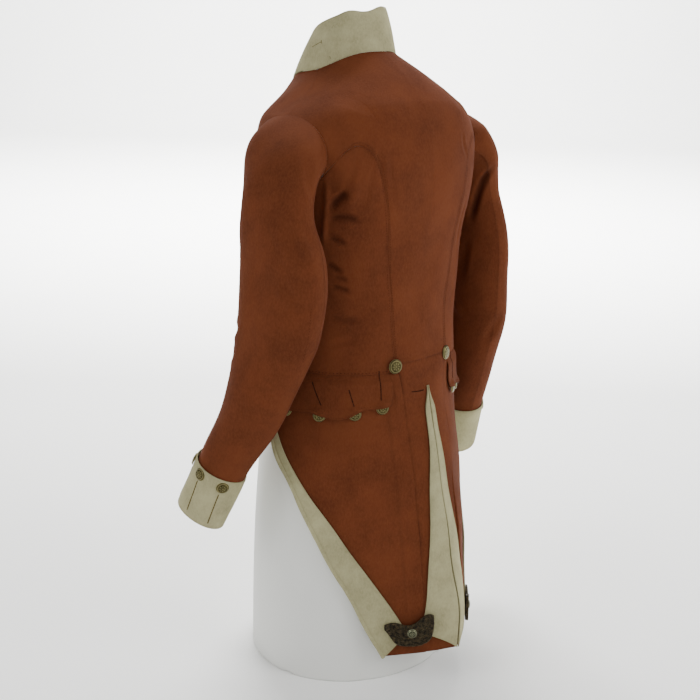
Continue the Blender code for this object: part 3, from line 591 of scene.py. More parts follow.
def foldShift(points, fold, soilAndShade):
    # push the cloth in along a fold's path and raise a soft lip on each side; a deep
    # fold gets painted shade in its hollow
    path, normals = fold["line"], fold["normals"]
    wide, deep = fold["wide"] / 1000, fold["deep"] / 1000
    reach = foldLook["reach"] * wide
    shift = np.zeros_like(points)
    near = np.all((points > path.min(0) - reach) & (points < path.max(0) + reach), axis=1)
    chosen = np.nonzero(near)[0]
    if not len(chosen):
        return shift
    spots = points[chosen]
    best = np.full(len(spots), 1e9)
    along = np.zeros(len(spots))
    steps = len(path) - 1
    for i in range(steps):
        a, ab = path[i], path[i + 1] - path[i]
        t = np.clip((spots - a) @ ab / (ab @ ab), 0, 1)
        distance = np.linalg.norm(spots - (a + t[:, None] * ab), axis=1)
        closer = distance < best
        best[closer] = distance[closer]
        along[closer] = (i + t[closer]) / steps
    # an open fold runs out at full depth over the hem
    fromEnd = 1 - along if fold.get("open") else np.minimum(along, 1 - along)
    ends = smoothStep(fromEnd, 0, foldLook["fade"])
    u = best / wide
    lip = fold["lip"] * np.exp(-(((u - foldLook["lipAt"]) / foldLook["lipWide"]) ** 2))
    index = np.clip((along * steps).round().astype(int), 0, steps)
    shift[chosen] = normals[index] * (deep * (lip - np.exp(-u * u)) * ends)[:, None]
    # painted shade, darkening the hollow of a deep, narrow fold
    if fold["deep"] > foldShadePaint["deep"] and fold["wide"] < foldShadePaint["wide"]:
        soilAndShade[chosen] += foldShadePaint["amount"] * fold["deep"] * np.exp(-u * u) * ends
    return shift


shoulder = {
    "start": Vector((0.083, 0.086, 0.769)),
    "end": Vector((0.099, 0.055, 0.777)),
    "reach": 0.015,
    "passes": 120,
}


def onShoulder(point):
    # the few narrow CAD faces in the middle of each shoulder
    spot = Vector((abs(point.x), point.y, point.z))
    line = shoulder["end"] - shoulder["start"]
    share = min(1.0, max(0.0, (spot - shoulder["start"]).dot(line) / line.length_squared))
    return (spot - shoulder["start"] - line * share).length < shoulder["reach"]


def rimEdges(bm):
    # edges where the wall turns over its cut
    return [e for e in bm.edges if len(e.link_faces) == 2 and e.calc_face_angle() > clothLook["rimAngle"]]


def finePiece(node, name, material, levels, crease):
    # a CAD solid made fine, its triangles joined back to quads and its rims kept
    bm = bmesh.new()
    bm.from_mesh(bpy.data.objects[node].data)
    bmesh.ops.remove_doubles(bm, verts=bm.verts, dist=0.00001)
    bmesh.ops.join_triangles(
        bm,
        faces=bm.faces,
        angle_face_threshold=radians(50),
        angle_shape_threshold=pi,
        topology_influence=1.0,
    )
    layer = bm.edges.layers.float.new("crease_edge")
    for edge in rimEdges(bm):
        if not all(onShoulder(v.co) for v in edge.verts):
            edge[layer] = crease
    piece = newPiece(name, meshFrom(bm, name), material)
    smooth = piece.modifiers.new("smooth", "SUBSURF")
    smooth.levels = smooth.render_levels = levels
    return finished(piece)


def clothPiece(node, material, levels):
    piece = finePiece(node, node + "_cloth", material, levels, 1.0)
    if node.startswith("back"):
        bm = bmesh.new()
        bm.from_mesh(piece.data)
        calm = [v for v in bm.verts if onShoulder(v.co)]
        axes = {"use_axis_x": True, "use_axis_y": True, "use_axis_z": True}
        for _ in range(shoulder["passes"]):
            bmesh.ops.smooth_vert(bm, verts=calm, factor=0.5, **axes)
        bm.to_mesh(piece.data)
        bm.free()
    return piece


# In metres, but for the right tail's share of the left one's move
tuck = {
    "flapUnder": 0.012,
    "flapTop": 0.0030,
    "flapHem": 0.0018,
    "tailEdge": 0.0013,
    "tailEdgeLow": 0.0028,
    "rightTail": 2.2,
    "parting": 0.0036,
}


def tucked(node, points):
    # edges that lie under a neighbour: the flap's top in the waist seam, the back
    # tail under the pleat's fold, and the right tail's edge under the left one
    stem, side = stemOf(node), -1 if node.endswith("right") else 1
    shift = np.zeros_like(points)
    width, z = np.abs(points[:, 0]), points[:, 2]
    if stem == "pocket_flap":
        away = points * (1, 1, 0)
        away /= np.linalg.norm(away, axis=1)[:, None]
        shift -= away * (tuck["flapTop"] * smoothStep(z, z.max() - 0.009, z.max() - 0.001))[:, None]
        shift += away * (tuck["flapHem"] * (1 - smoothStep(z, 0.374, 0.402)))[:, None]
    if stem == "skirt_back":
        levels = np.linspace(z.min(), z.max(), 40)
        reach = [width[np.abs(z - level) < 0.008].max() for level in levels]
        low = 1 - smoothStep(z, 0.06, 0.26)
        move = 1 - smoothStep(np.interp(z, levels, reach) - width, 0, 0.012)
        move *= tuck["tailEdge"] + tuck["tailEdgeLow"] * low
        if side < 0:
            move *= tuck["rightTail"]
        shift[:, 0] += side * move
        shift[:, 1] -= move * (0.35 + 0.6 * low)
    if node in ("skirt_back_right", "turnback_rear_right"):
        parting = np.clip((0.405 - z) / 0.06, 0, 1)
        shift[:, 0] += tuck["parting"] * parting * (1 - smoothStep(width, 0.002, 0.030))
    if stem == "turnback_rear":
        # both come to a point at the top
        shift[:, 0] -= side * (width - 0.001) * 0.8 * smoothStep(z, 0.374, 0.404)
    return shift


def hangCloth(node, piece, neighbours):
    # close the seams on the pieces sewn to it, hang the folds and press the edges
    look, stem = clothLook, stemOf(node)
    bm = bmesh.new()
    bm.from_mesh(piece.data)
    bm.normal_update()
    weight = bm.edges.layers.float.new("bevel_weight_edge")
    rims = rimEdges(bm)
    rimVerts = sorted({v for e in rims for v in e.verts}, key=lambda v: v.index)
    rimTree = KDTree(len(rimVerts))
    sewn = {}
    armhole = node.startswith(("front", "sleeve"))
    for i, v in enumerate(rimVerts):
        rimTree.insert(v.co, i)
        reach = look["cornerJoin" if armhole and v.co.z > armholeLow else "seamJoin"]
        for tree in neighbours:
            spot = tree.find_nearest(v.co, reach)[0]
            if spot is not None:
                sewn[v.index] = (spot - v.co) / 2
                break
    rimTree.balance()
    points = np.array([v.co for v in bm.verts])
    normals = np.array([v.normal for v in bm.verts])
    nearest = [rimTree.find(v.co) for v in bm.verts]
    gaps = np.array([hit[2] for hit in nearest])
    strength = seamStrength(points)
    strength[np.array([rimVerts[hit[1]].index not in sewn for hit in nearest])] = 1.0
    shift = drift(points) + tucked(node, points)
    # soil along seams and cut edges; foldShift adds painted shade in fold hollows to this map
    soilAndShade = look["soilAndShade"] * np.clip(1 - gaps / look["soilReach"], 0, 1) * strength
    for fold in folds:
        if fold["on"] == placeOf(node) and stem in fold.get("only", (stem,)):
            shift += foldShift(points, fold, soilAndShade)
    press = np.clip(1 - gaps / look["seamReach"], 0, 1) ** 2 * look["seamDip"]
    x, z = points[:, 0], points[:, 2]
    wave = np.sin(2 * pi * z / look["puckerPitch"] + 40 * x + 3 * np.sin(70 * z))
    wave *= np.clip(1 - gaps / look["puckerReach"], 0, 1) * look["puckerDeep"] * np.clip(gaps / 0.001, 0, 1)
    shift -= normals * ((press + wave) * strength)[:, None]
    for index, move in sewn.items():
        shift[index] += move
    for edge in rims:
        kept = min(strength[v.index] for v in edge.verts)
        if all(v.index in sewn for v in edge.verts):
            kept *= look["sewnRound"]
        if kept > look["leastRound"]:
            edge[weight] = kept
        else:
            edge.smooth = False
    mesh = piece.data
    bm.to_mesh(mesh)
    bm.free()
    points += shift
    mesh.vertices.foreach_set("co", points.astype(np.float32).ravel())
    if stem == "pocket_flap":
        soilAndShade[points[:, 2] > points[:, 2].max() - tuck["flapUnder"]] = 0
    # the edge attribute carries seam soil and painted shade from the folds
    edge = mesh.attributes.new("edge", "FLOAT", "POINT")
    edge.data.foreach_set("value", np.clip(soilAndShade, 0, 1).astype(np.float32))
    mesh.update()
    rounding = piece.modifiers.new("edge", "BEVEL")
    rounding.width = look["edgeRound"]
    rounding.segments = 2
    rounding.limit_method = "WEIGHT"
    finished(piece)
    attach(piece, "root")
    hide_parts(node)


# How each cut is made: its cloth, fineness, flat width and length, area in square
# metres, how it is held, and whether its edges are sewn to their neighbours
cuts = {
    "back": (redWool, 3, 0.165, 0.400, 0.041, "hung", True),
    "front": (redWool, 3, 0.350, 0.400, 0.111, "hung", True),
    "sleeve_upper": (redWool, 3, 0.190, 0.560, 0.084, "hung", True),
    "sleeve_under": (redWool, 3, 0.130, 0.500, 0.051, "hung", True),
    "skirt_side": (redWool, 3, 0.260, 0.390, 0.0655, "hung", True),
    "skirt_back": (redWool, 3, 0.062, 0.392, 0.0162, "hung", True),
    "cuff": (buffWool, 2, 0.210, 0.078, 0.0162, "laid", False),
    "turnback_front": (buffWool, 3, 0.055, 0.390, 0.0100, "laid", False),
    "turnback_rear": (buffWool, 3, 0.048, 0.352, 0.0093, "laid", False),
    "pocket_flap": (redWool, 3, 0.165, 0.058, 0.0080, "laid", False),
    "collar": (buffWool, 3, 0.430, 0.058, 0.0215, "hung", True),
}
coatNodes = [f"{stem}_{label}" for label in sides for stem in cuts if stem != "collar"] + ["collar"]
coat = {node: clothPiece(node, *cuts[stemOf(node)][:2]) for node in coatNodes}
print("pieces cut:", len(coat))


def outwardFrom(point, place):
    # the direction away from the middle of the body or of the arm
    if place.startswith("body"):
        return Vector((point.x, point.y, 0))
    side = place.removeprefix("sleeve").lower()
    ring = min(sleeveRings[side], key=lambda row: abs(row[2] - point.z))
    return point - Vector((sides[side] * ring[0], ring[1], point.z))


def buttonSeat(node):
    # where a CAD button stands, which way it faces, its height and its radius
    points = np.array([v.co for v in bpy.data.objects[node].data.vertices])
    points = np.unique(points.round(6), axis=0)
    middle = points.mean(0)
    axis = np.linalg.svd(points - middle)[2][2]
    height = (points - middle) @ axis
    reach = np.linalg.norm((points - middle) - height[:, None] * axis, axis=1)
    footEnd = reach[height < height.min() + 0.0001].max()
    topEnd = reach[height > height.max() - 0.0001].max()
    if topEnd > footEnd:
        axis, height = -axis, -height
    foot = Vector(middle + axis * height.min())
    return foot, Vector(axis), height.max() - height.min(), reach.max()


flapLift = {"wide": 8.5, "high": -3.4, "run": 0.013, "rise": 0.0046, "sink": 0.0026}
for label in sides:
    for i in range(1, 5):
        # the flap rides up over each button that peeps out below it
        foot = buttonSeat(f"button_flap_{label}_{i}")[0] + Vector((0, 0, flapLift["rise"]))
        path = [(foot + Vector((0, 0, up))) * 1000 for up in (flapLift["run"], 0, -flapLift["run"])]
        lift = {"wide": flapLift["wide"], "deep": flapLift["high"], "lip": 0.0, "path": path}
        folds.append({"on": "body" + label.capitalize(), "only": ("pocket_flap",), **lift})

cutTrees = {node: surfaceTree(piece) for node, piece in coat.items()}
laidStems = ("turnback_front", "turnback_rear", "pocket_flap")
for fold in folds:
    under = [
        tree
        for node, tree in cutTrees.items()
        if placeOf(node) == fold["on"] and stemOf(node) not in laidStems
    ]
    line, normals = [], []
    for point in smoothPath([Vector(p) / 1000 for p in fold["path"]], 16):
        hits = [tree.find_nearest(point)[:2] for tree in under]
        spot, normal = min(hits, key=lambda hit: (hit[0] - point).length)
        if normal.dot(outwardFrom(spot, fold["on"])) < 0:
            normal = -normal
        line.append(spot)
        normals.append(normal)
    fold["line"], fold["normals"] = np.array(line), np.array(normals)

sewnTrees = {node: tree for node, tree in cutTrees.items() if cuts[stemOf(node)][-1]}
for node, piece in coat.items():
    hangCloth(node, piece, [tree for other, tree in sewnTrees.items() if node in sewnTrees and other != node])
print("folds hung and seams pressed")

form = finePiece("dress_form", "dress_form_cover", formCover, 2, 0.9)
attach(form, "root")
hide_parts("dress_form")
print("form covered")

hungTrees = {node: surfaceTree(piece) for node, piece in coat.items()}


probe = {"above": 0.006, "reach": 0.016, "leastFacing": 0.3}


def onCloth(point, normal, stems, lift):
    # the outermost cloth of these pieces at a point, looked for from outside
    start = point + normal * probe["above"]
    best = None
    for node, tree in hungTrees.items():
        if stemOf(node) in stems:
            spot, face, _, reach = tree.ray_cast(start, -normal, probe["reach"])
            if spot is not None and (best is None or reach < best[2]):
                best = (spot, face, reach)
    if best is None:
        return point + normal * lift, normal
    spot, face, _ = best
    if face.dot(normal) < probe["leastFacing"]:
        face = normal
    return spot + face * lift, face


stitchLift = 0.0001


def bodyRun(side, path, stems, aside=0.0, out=0.0, lift=stitchLift):
    # a run of sewing over the body, from points given as angle and level
    raw = []
    for a, v, _ in smoothPath([(a, v, 0) for a, v in path], 12 * (len(path) - 1)):
        point = body(a, v, out)
        raw.append((point, (body(a, v, out + 0.01) - point).normalized()))
    run = []
    for i, (point, normal) in enumerate(raw):
        ahead = raw[min(i + 1, len(raw) - 1)][0] - raw[max(i - 1, 0)][0]
        point = mirrored(point + normal.cross(ahead.normalized()) * aside, side)
        run.append(onCloth(point, mirrored(normal, side), stems, lift))
    return run


def cuffRun(label, ends, steps=24):
    # a run over a cuff, from points given as height and turn
    table, side = sleeveRings[label], sides[label]
    run = []
    for h, turn, _ in smoothPath([(*p, 0) for p in ends], steps):
        point = cuffPoint(table, h, turn)
        normal = (cuffPoint(table, h, turn, 0.01) - point).normalized()
        run.append(onCloth(mirrored(point, side), mirrored(normal, side), ("cuff",), stitchLift))
    return run


def pointRun(path, middle, stems):
    # a run through points in millimetres, facing away from an upright middle line
    run = []
    for point in smoothPath([Vector(p) / 1000 for p in path], 16):
        normal = Vector((point.x - middle[0], point.y - middle[1], 0)).normalized()
        run.append(onCloth(point, normal, stems, stitchLift))
    return run


def newGroup(name, inputs):
    # a geometry node group and its input sockets
    tree = bpy.data.node_groups.new(name, "GeometryNodeTree")
    for socket, kind in inputs.items():
        tree.interface.new_socket(socket, in_out="INPUT", socket_type="NodeSocket" + kind)
    tree.interface.new_socket("Result", in_out="OUTPUT", socket_type="NodeSocketGeometry")
    return tree, addNode(tree, "NodeGroupInput").outputs


def closeGroup(tree, made, material):
    # what the group made, as a real mesh in its material
    real = addNode(tree, "GeometryNodeRealizeInstances", links={0: made})
    links = {"Geometry": real, "Material": material}
    dressed = addNode(tree, "GeometryNodeSetMaterial", links=links)
    addNode(tree, "NodeGroupOutput", links={0: dressed})
    return tree


# A run's sizes in the order that the sewing table gives them
threadInputs = {
    "Pitch": "Float", "Along": "Float", "Across": "Float", "Thick": "Float",
    "Unevenness": "Float", "Seed": "Int",
}


def threadNodes():
    # a thread's visible stitches: one flattened bead for each, along every curve
    tree, given = newGroup("thread_run", {"Path": "Geometry", **threadInputs, "Material": "Material"})
    curve = addNode(tree, "GeometryNodeMeshToCurve", links={"Mesh": given["Path"]})
    even = addNode(
        tree, "GeometryNodeResampleCurve", {"mode": "LENGTH"}, {"Curve": curve, "Length": given["Pitch"]}
    )
    tangent = addNode(tree, "GeometryNodeInputTangent")
    named = {"data_type": "FLOAT_VECTOR", "Name": "up"}
    up = addNode(tree, "GeometryNodeInputNamedAttribute", named)
    lying = addNode(tree, "FunctionNodeAlignRotationToVector", {"axis": "X"}, {"Vector": tangent})
    facing = addNode(
        tree,
        "FunctionNodeAlignRotationToVector",
        {"axis": "Z", "pivot_axis": "X"},
        {"Rotation": lying, "Vector": up},
    )
    sizes = {"X": given["Along"], "Y": given["Across"], "Z": given["Thick"]}
    size = addNode(tree, "ShaderNodeCombineXYZ", links=sizes)
    least, most = (
        addNode(tree, "ShaderNodeMath", {"operation": way, 0: 1.0}, {1: given["Unevenness"]})
        for way in ("SUBTRACT", "ADD")
    )
    limits = {2: least, 3: most, 8: given["Seed"]}
    vary = addNode(tree, "FunctionNodeRandomValue", {"data_type": "FLOAT"}, limits)
    varied = addNode(tree, "ShaderNodeVectorMath", {"operation": "SCALE"}, {0: size, 3: vary.outputs[1]})
    bead = addNode(tree, "GeometryNodeMeshUVSphere", {"Segments": 6, "Rings": 4, "Radius": 0.5})
    placing = {
        "Points": even,
        "Instance": bead,
        "Rotation": facing,
        "Scale": varied,
    }
    beads = addNode(tree, "GeometryNodeInstanceOnPoints", links=placing)
    return closeGroup(tree, beads, given["Material"])


def edgeRollNodes():
    # cloth turned over an edge: a round roll along each path
    inputs = {"Path": "Geometry", "Radius": "Float", "Sides": "Int", "Material": "Material"}
    tree, given = newGroup("edge_roll", inputs)
    curve = addNode(tree, "GeometryNodeMeshToCurve", links={"Mesh": given["Path"]})
    sizes = {"Resolution": given["Sides"], "Radius": given["Radius"]}
    ring = addNode(tree, "GeometryNodeCurvePrimitiveCircle", links=sizes)
    roll = addNode(
        tree, "GeometryNodeCurveToMesh", {"Fill Caps": True}, {"Curve": curve, "Profile Curve": ring}
    )
    return closeGroup(tree, roll, given["Material"])


threadTree = threadNodes()
rollTree = edgeRollNodes()


def grow(name, runs, tree, material, values):
    # a piece that a node group makes from runs, each a chain of edges that knows
    # which way the cloth faces
    points, edges, ups = [], [], []
    for run in runs:
        first = len(points)
        for point, normal in run:
            points.append(point)
            ups.append(normal)
        edges += [(i, i + 1) for i in range(first, len(points) - 1)]
    mesh = bpy.data.meshes.new(name)
    mesh.from_pydata(points, edges, [])
    up = mesh.attributes.new("up", "FLOAT_VECTOR", "POINT")
    up.data.foreach_set("vector", np.array(ups, dtype=np.float32).ravel())
    piece = newPiece(name, mesh, material)
    modifier = piece.modifiers.new("nodes", "NODES")
    modifier.node_group = tree
    values = {**values, "Material": material}
    for item in tree.interface.items_tree:
        if item.item_type == "SOCKET" and item.in_out == "INPUT" and item.name in values:
            modifier[item.identifier] = values[item.name]
    finished(piece)
    piece.data.shade_smooth()
    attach(piece, "root")
    return piece


# Each run's thread, then in metres the pitch and the stitch's length along, its width
# and its height, then its unevenness and its seed. Real stitches are about 2 mm apart;
# these are a little bolder so that they show
sewing = {
    "seam_stitches": (redThread, 0.0034, 0.0022, 0.0007, 0.0005, 0.15, 3),
    "collar_buttonhole": (brownThread, 0.0009, 0.0010, 0.0009, 0.0005, 0.12, 13),
    "waist_stitches": (redThread, 0.0046, 0.0026, 0.0010, 0.0006, 0.2, 5),
    "flap_edge_stitches": (redThread, 0.0040, 0.0018, 0.0006, 0.0004, 0.15, 7),
    "facing_stitches": (buffThread, 0.0040, 0.0018, 0.0006, 0.0004, 0.15, 7),
    "cuff_buttonholes": (brownThread, 0.0009, 0.0010, 0.0018, 0.0008, 0.12, 11),
    "flap_buttonholes": (darkThread, 0.0009, 0.0010, 0.0018, 0.0008, 0.12, 11),
    "bullion_purls": (oldBullion, 0.0019, 0.0021, 0.0018, 0.0022, 0.35, 17),
    "bullion_outline": (oldBullion, 0.0019, 0.0021, 0.0021, 0.0022, 0.25, 19),
}
runs = {name: [] for name in sewing}


def sew(*names):
    for name in names:
        thread, *sizes = sewing[name]
        grow(name, runs[name], threadTree, thread, dict(zip(threadInputs, sizes)))


# How far the runs lie from their seams and edges, in metres, and on a cuff as a
# share of its height
runPlace = {"seam": 0.0024, "waist": 0.0030, "flap": 0.0045, "turnback": 0.0035, "cuff": 0.955}
bodyStems = ("back", "front")
seamRuns, holeRuns, facings = runs["seam_stitches"], runs["flap_buttonholes"], runs["facing_stitches"]
sideBack = ((19.6, backWaist + 0.006), *(p for p in sideBackSeam if p[1] > backWaist + 0.004))
waistLine = [(a, sideWaist + runPlace["waist"]) for a in (24, 45, 70, 95, 120, 150, 176)]
flapLine = [(a, v + runPlace["flap"]) for a, v in flapEdge[2:-2]]
for label, side in sides.items():
    for aside in (-runPlace["seam"], runPlace["seam"]):
        for seam in (sideBack, bladeArch[:-1]):
            seamRuns.append(bodyRun(side, seam, bodyStems, aside))
    runs["waist_stitches"].append(bodyRun(side, waistLine, bodyStems))
    runs["flap_edge_stitches"].append(bodyRun(side, flapLine, ("pocket_flap",), out=laidOut))
    inside = runPlace["turnback"]
    facings.append(bodyRun(side, frontTurnbackEdge[1:-1], ("turnback_front",), inside, laidOut))
    facings.append(bodyRun(side, rearTurnbackEdge[1:-2], ("turnback_rear",), -inside, laidOut))
    facings.append(cuffRun(label, [(runPlace["cuff"], t) for t in range(0, 361, 30)], 120))

# Worked buttonholes, each from its top down to its button: on the flaps as angle and
# level, on the cuffs as height and turn
flapHoles = (
    ((68.7, 0.4172), (61.0, 0.3884)),
    ((47.6, 0.4099), (44.7, 0.3886)),
    ((30.4, 0.4319), (31.4, 0.3951)),
    ((84.0, 0.412), (80.8, 0.387)),
)
cuffHoles = {
    "left": (((0.72, 86), (0.118, 82)), ((0.683, 31.5), (0.093, 28)), ((0.72, 141), (0.11, 136))),
    "right": (((0.70, 50), (0.10, 46)), ((0.74, 105), (0.11, 101)), ((0.73, 160), (0.11, 156))),
}
flapStems = ("pocket_flap", "skirt_side", "skirt_back", "front")
for label, side in sides.items():
    holeRuns += [bodyRun(side, hole, flapStems, out=laidOut) for hole in flapHoles]
    runs["cuff_buttonholes"] += [cuffRun(label, hole) for hole in cuffHoles[label]]

# The left sleeve's hind seam, the bar at the head of the vent, the collar's hook eye
# and hole, and the worked holes on the left front, which face its buttons
hindSeam = ((193, 97, 468), (194, 106, 497), (194, 112, 536))
seamRuns.append(pointRun(hindSeam, (0.189, 0.045), ("sleeve_upper", "sleeve_under")))
holeRuns.append(pointRun(((27, 126, 400), (17, 128, 399), (7, 129, 399)), (0.01, 0), ("skirt_back",)))
for path in (
    ((62, -39, 834), (60, -24, 841)),
    ((60, -25, 843), (60, -23, 839)),
    ((59, -8, 823), (59, -7, 821)),
):
    runs["collar_buttonhole"].append(pointRun(path, (0, -0.02), ("collar",)))
for i in range(1, 7):
    foot = buttonSeat(f"button_front_{i}")[0] * 1000
    across = abs(foot.x)
    hole = ((across - 9, foot.y, foot.z), (across + 9, foot.y, foot.z))
    holeRuns.append(pointRun(hole, (across / 1000, 0), ("front",)))

sew(*list(sewing)[:-2])
print("sewing done")

rolledEdge = {"radius": 0.0029, "sides": 14, "inset": 0.0016, "rise": 0.0004, "uneven": 0.0003}


def rollEdge(label):
    # the lining turned out over a tail's front edge, joined to its turnback
    look, moved = rolledEdge, []
    for point, normal in bodyRun(sides[label], tailFrontEdge, (), look["inset"], look["rise"], 0.0):
        wave = look["uneven"] * sin(210 * point.z + 1.3 * sin(90 * point.z))
        moved.append((point + Vector(drift(np.array([point]))[0]) + normal * wave, normal))
    values = {"Radius": look["radius"], "Sides": look["sides"]}
    piece = grow("front_edge_roll_" + label, [moved], rollTree, buffWool, values)
    bm = bmesh.new()
    bm.from_mesh(piece.data)
    bmesh.ops.recalc_face_normals(bm, faces=bm.faces)
    bm.to_mesh(piece.data)
    bm.free()
    return piece


rolls = {"turnback_front_" + label: rollEdge(label) for label in sides}
print("tail edges rolled")

# The places and widths on the face, and the cap's width, are shares of the radius
buttonLook = {
    "ringSteps": 60,
    "domeRings": 16,
    "petals": 8,
    "petalHigh": 0.00028,
    "borderHigh": 0.00042,
    "borderAt": 0.84,
    "borderWide": 0.07,
    "petalAt": 0.42,
    "petalWide": 0.16,
    "dotWide": 0.13,
    "cap": 0.0030,
    "capShare": 0.95,
    "capSide": 0.25,
    "capCurve": 0.93,
    "rimLevel": 0.0009,
    "rimRound": 0.0006,
    "shank": 0.0022,
    "cuffSink": 0.0032,
}


def turnedButton(node):
    # struck cap with a raised border, a plain rosette and a rolled rim
    look = buttonLook
    foot, axis, tall, radius = buttonSeat(node)
    if "cuff" in node:
        foot = foot - axis * look["cuffSink"]
    if "flap" in node:
        foot = foot + Vector((0, 0, flapLift["rise"])) - axis * flapLift["sink"]
    turn = axis.to_track_quat("Z", "Y").to_matrix()
    base, cap = tall - look["cap"], radius * look["capShare"]
    steps = look["ringSteps"]
    profile = []
    for i in range(look["domeRings"] + 1):
        r = i / look["domeRings"]
        dome = (1 - look["capSide"]) * sqrt(1 - look["capCurve"] * r * r)
        profile.append((cap * r, base + look["cap"] * (look["capSide"] + dome), r))
    for degree in (20, 55, 90, 130):
        s, c = sin(radians(degree)), cos(radians(degree))
        level = base + look["rimLevel"] + look["rimRound"] * (c - 0.6)
        profile.append((cap + look["rimRound"] * s, level, 2.0))
    profile += [(radius * 0.9, base, 3.0), (look["shank"], base, 3.0), (look["shank"], 0.0, 3.0)]
    bm = bmesh.new()
    shine = bm.verts.layers.float.new("edge")
    rings = []
    for r, z, part in profile:
        # part is the share of the cap's radius, 2 on its rim and 3 underneath
        border = bloom = dot = 0.0
        if part <= 1:
            border = np.exp(-(((part - look["borderAt"]) / look["borderWide"]) ** 2))
            bloom = np.exp(-(((part - look["petalAt"]) / look["petalWide"]) ** 2))
            dot = np.exp(-((part / look["dotWide"]) ** 2))
        ring = []
        for j in range(steps if r > 0 else 1):
            a = 2 * pi * j / steps
            petal = bloom * (0.5 + 0.5 * cos(look["petals"] * a)) + dot
            high = look["borderHigh"] * border + look["petalHigh"] * petal
            v = bm.verts.new(foot + turn @ Vector((r * cos(a), r * sin(a), z + high)))
            # lighter on the border, rosette and rim: partly rubbed wear, partly painted highlight
            v[shine] = min(1.0, 0.8 * border + 0.7 * petal + (0.7 if part == 2.0 else 0.0))
            ring.append(v)
        rings.append(ring)
    for low, high in zip(rings, rings[1:]):
        for j in range(steps):
            k = (j + 1) % steps
            if len(low) == 1:
                bm.faces.new((low[0], high[j], high[k]))
            else:
                bm.faces.new((low[j], high[j], high[k], low[k]))
    bm.faces.new(rings[-1])
    bmesh.ops.recalc_face_normals(bm, faces=bm.faces)
    name = node + "_struck"
    piece = newPiece(name, meshFrom(bm, name), bossBronze if "boss" in node else oldBrass)
    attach(piece, "root")
    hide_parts(node)


buttonNodes = [f"button_front_{i}" for i in range(1, 7)]
for label in sides:
    buttonNodes += [f"button_hip_{label}", f"ornament_boss_{label}"]
    buttonNodes += [f"button_flap_{label}_{i}" for i in range(1, 5)]
    buttonNodes += [f"button_cuff_{label}_{i}" for i in range(1, 4)]
for node in buttonNodes:
    turnedButton(node)
print("buttons struck:", len(buttonNodes))

# Tail ornament: angle, upper and lower level of the winged shape
ornamentShape = (
    (19.8, 0.1070, 0.0960),
    (21.0, 0.1085, 0.0760),
    (23.9, 0.1056, 0.0670),
    (26.8, 0.0959, 0.0634),
    (30.0, 0.0923, 0.0632),
    (33.2, 0.0957, 0.0650),
    (35.0, 0.0962, 0.0745),
    (37.2, 0.0925, 0.0880),
)
ornamentLook = {
    "wall": 0.0026,
    "rows": 11,
    "inset": 0.0014,
    "purlLift": 0.0003,
    "outlineLift": 0.0004,
    "boss": (28.2, 0.0826),
    "bossRing": 0.0070,
    "bossClear": 0.0075,
}


def makeOrnament(label):
    # padded badge worked all over in short bullion purls, with a raised outline
    look, side, stems = ornamentLook, sides[label], ("ornament",)
    node = "ornament_" + label
    piece = clothPiece(node, oldBullion, 2)
    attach(piece, "root")
    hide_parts(node)
    hungTrees[node] = surfaceTree(piece)
    out = laidOut + layerGap + look["wall"]
    inset = look["inset"]
    bossSpot = mirrored(body(*look["boss"], out), side)
    first, last = ornamentShape[0][0] + 0.5, ornamentShape[-1][0] - 0.5

    def levels(a):
        return (readTable(ornamentShape, a, c) for c in (1, 2))

    for row in range(look["rows"]):
        f = (row + 0.5) / look["rows"]
        path = []
        for a in spread(first, last, 24):
            top, bottom = levels(a)
            path.append((a, bottom + inset + (top - bottom - 2 * inset) * f))
        run = bodyRun(side, path, stems, out=out, lift=look["purlLift"])
        for clear, part in groupby(run, lambda spot: (spot[0] - bossSpot).length > look["bossClear"]):
            part = list(part)
            if clear and len(part) > 1:
                runs["bullion_purls"].append(part)
    upper, lower = [], []
    for a in spread(first - 0.3, last + 0.3, 30):
        top, bottom = levels(a)
        upper.append((a, top - inset * 0.6))
        lower.append((a, bottom + inset * 0.6))
    border = [*upper, *reversed(lower), upper[0]]
    outlines = runs["bullion_outline"]
    outlines.append(bodyRun(side, border, stems, out=out, lift=look["outlineLift"]))
    angle, level = look["boss"]
    across = (mirrored(body(angle + 1, level, out), side) - bossSpot).normalized()
    up = Vector((0, 0, 1))
    facing = across.cross(up).normalized() * -side
    ring = []
    for degree in range(0, 361, 12):
        spot = bossSpot + (across * cos(radians(degree)) + up * sin(radians(degree))) * look["bossRing"]
        ring.append(onCloth(spot, facing, stems, look["outlineLift"]))
    outlines.append(ring)


for label in sides:
    makeOrnament(label)
sew("bullion_purls", "bullion_outline")
print("ornaments worked")

studio = {
    "paper": "F6F6F4",
    "paperShade": "FAFAF8",
    "width": 22.0,
    "near": 6.0,
    "far": 6.5,
    "bend": 2.0,
    "top": 5.0,
    "worldColour": "F7F7F7",
    "worldStrength": 0.50,
}
photoAngle = radians(134.75)


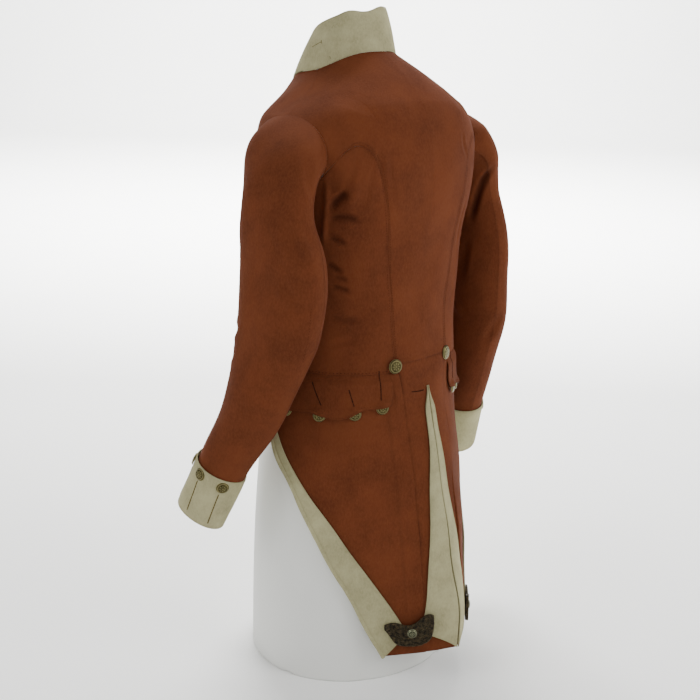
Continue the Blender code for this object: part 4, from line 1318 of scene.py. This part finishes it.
def makeFloor():
    # a pale paper sweep: flat under the object, bent up far behind it
    away = Vector((-sin(photoAngle), cos(photoAngle), 0))
    across = Vector((away.y, -away.x, 0)) * studio["width"] / 2
    bend, far = studio["bend"], studio["far"]
    line = [(-studio["near"], 0.0), (far, 0.0)]
    for degree in range(6, 91, 6):
        line.append((far + bend * sin(radians(degree)), bend * (1 - cos(radians(degree)))))
    line.append((far + bend, studio["top"]))
    points = []
    for reach, height in line:
        middle = away * reach + Vector((0, 0, height))
        points += [middle - across, middle + across]
    faces = [(2 * i, 2 * i + 1, 2 * i + 3, 2 * i + 2) for i in range(len(line) - 1)]
    mesh = bpy.data.meshes.new("paper_sweep")
    mesh.from_pydata(points, [], faces)
    material, tree, shader, place = newMaterial("matt_white_paper")
    grain = addNode(tree, "ShaderNodeTexNoise", {"Scale": 3.0, "Detail": 1.0}, {"Vector": place})
    colour = blendColours(tree, grain, studio["paper"], studio["paperShade"])
    setNode(tree, shader, {"Roughness": 0.95, "Specular IOR Level": 0.1}, {"Base Color": colour})
    newPiece("paper_sweep", mesh, material)


def softLight(name, place, aim, size, power):
    data = bpy.data.lights.new(name, "AREA")
    data.shape = "DISK"
    data.size = size
    data.energy = power
    light = bpy.data.objects.new(name, data)
    bpy.context.scene.collection.objects.link(light)
    light.location = place
    light.rotation_euler = (Vector(place) - Vector(aim)).to_track_quat("Z", "Y").to_euler()


def makeLights():
    world = bpy.data.worlds.new("studio")
    world.use_nodes = True
    background = world.node_tree.nodes["Background"]
    background.inputs["Color"].default_value = linearColour(studio["worldColour"])
    background.inputs["Strength"].default_value = studio["worldStrength"]
    bpy.context.scene.world = world
    softLight("key", (2.8, -0.4, 2.1), (0, 0, 0.5), 1.8, 41)
    softLight("back", (-0.9, 2.7, 2.1), (0, 0, 0.5), 1.6, 50)
    softLight("right", (-2.5, 1.7, 1.0), (0, 0, 0.5), 1.6, 20)
    softLight("fill", (2.0, 2.2, 1.3), (0, 0, 0.5), 1.8, 6)
    # behind the object and turned away from it, on to the paper
    softLight("paperHigh", (-1.9, -1.9, 3.4), (-5.2, -5.2, 1.2), 2.5, 1600)
    softLight("paperLow", (-0.9, -0.9, 2.6), (-2.6, -2.6, 0.0), 1.5, 280)


def makeCamera():
    view = {
        "distance": 1.5,
        "height": 0.876,
        "yaw": radians(0.569),
        "pitch": radians(13.28),
        "roll": radians(1.415),
        "lens": 57.857,
        "shiftY": -0.1,
    }
    heading = photoAngle + view["yaw"]
    ahead = Vector((-sin(heading), cos(heading), 0))
    right = Vector((ahead.y, -ahead.x, 0))
    ahead = ahead * cos(view["pitch"]) - Vector((0, 0, 1)) * sin(view["pitch"])
    up = right.cross(ahead)
    rolledRight = right * cos(view["roll"]) + up * sin(view["roll"])
    rolledUp = up * cos(view["roll"]) - right * sin(view["roll"])
    data = bpy.data.cameras.new("camera")
    data.sensor_width = 36
    data.lens = view["lens"]
    data.shift_y = view["shiftY"]
    camera = bpy.data.objects.new("camera", data)
    bpy.context.scene.collection.objects.link(camera)
    turn = Matrix((rolledRight, rolledUp, -ahead)).transposed().to_4x4()
    place = Vector((sin(photoAngle), -cos(photoAngle), 0)) * view["distance"] + Vector((0, 0, view["height"]))
    camera.matrix_world = Matrix.Translation(place) @ turn
    bpy.context.scene.camera = camera


makeFloor()
makeLights()
makeCamera()
print("studio set")
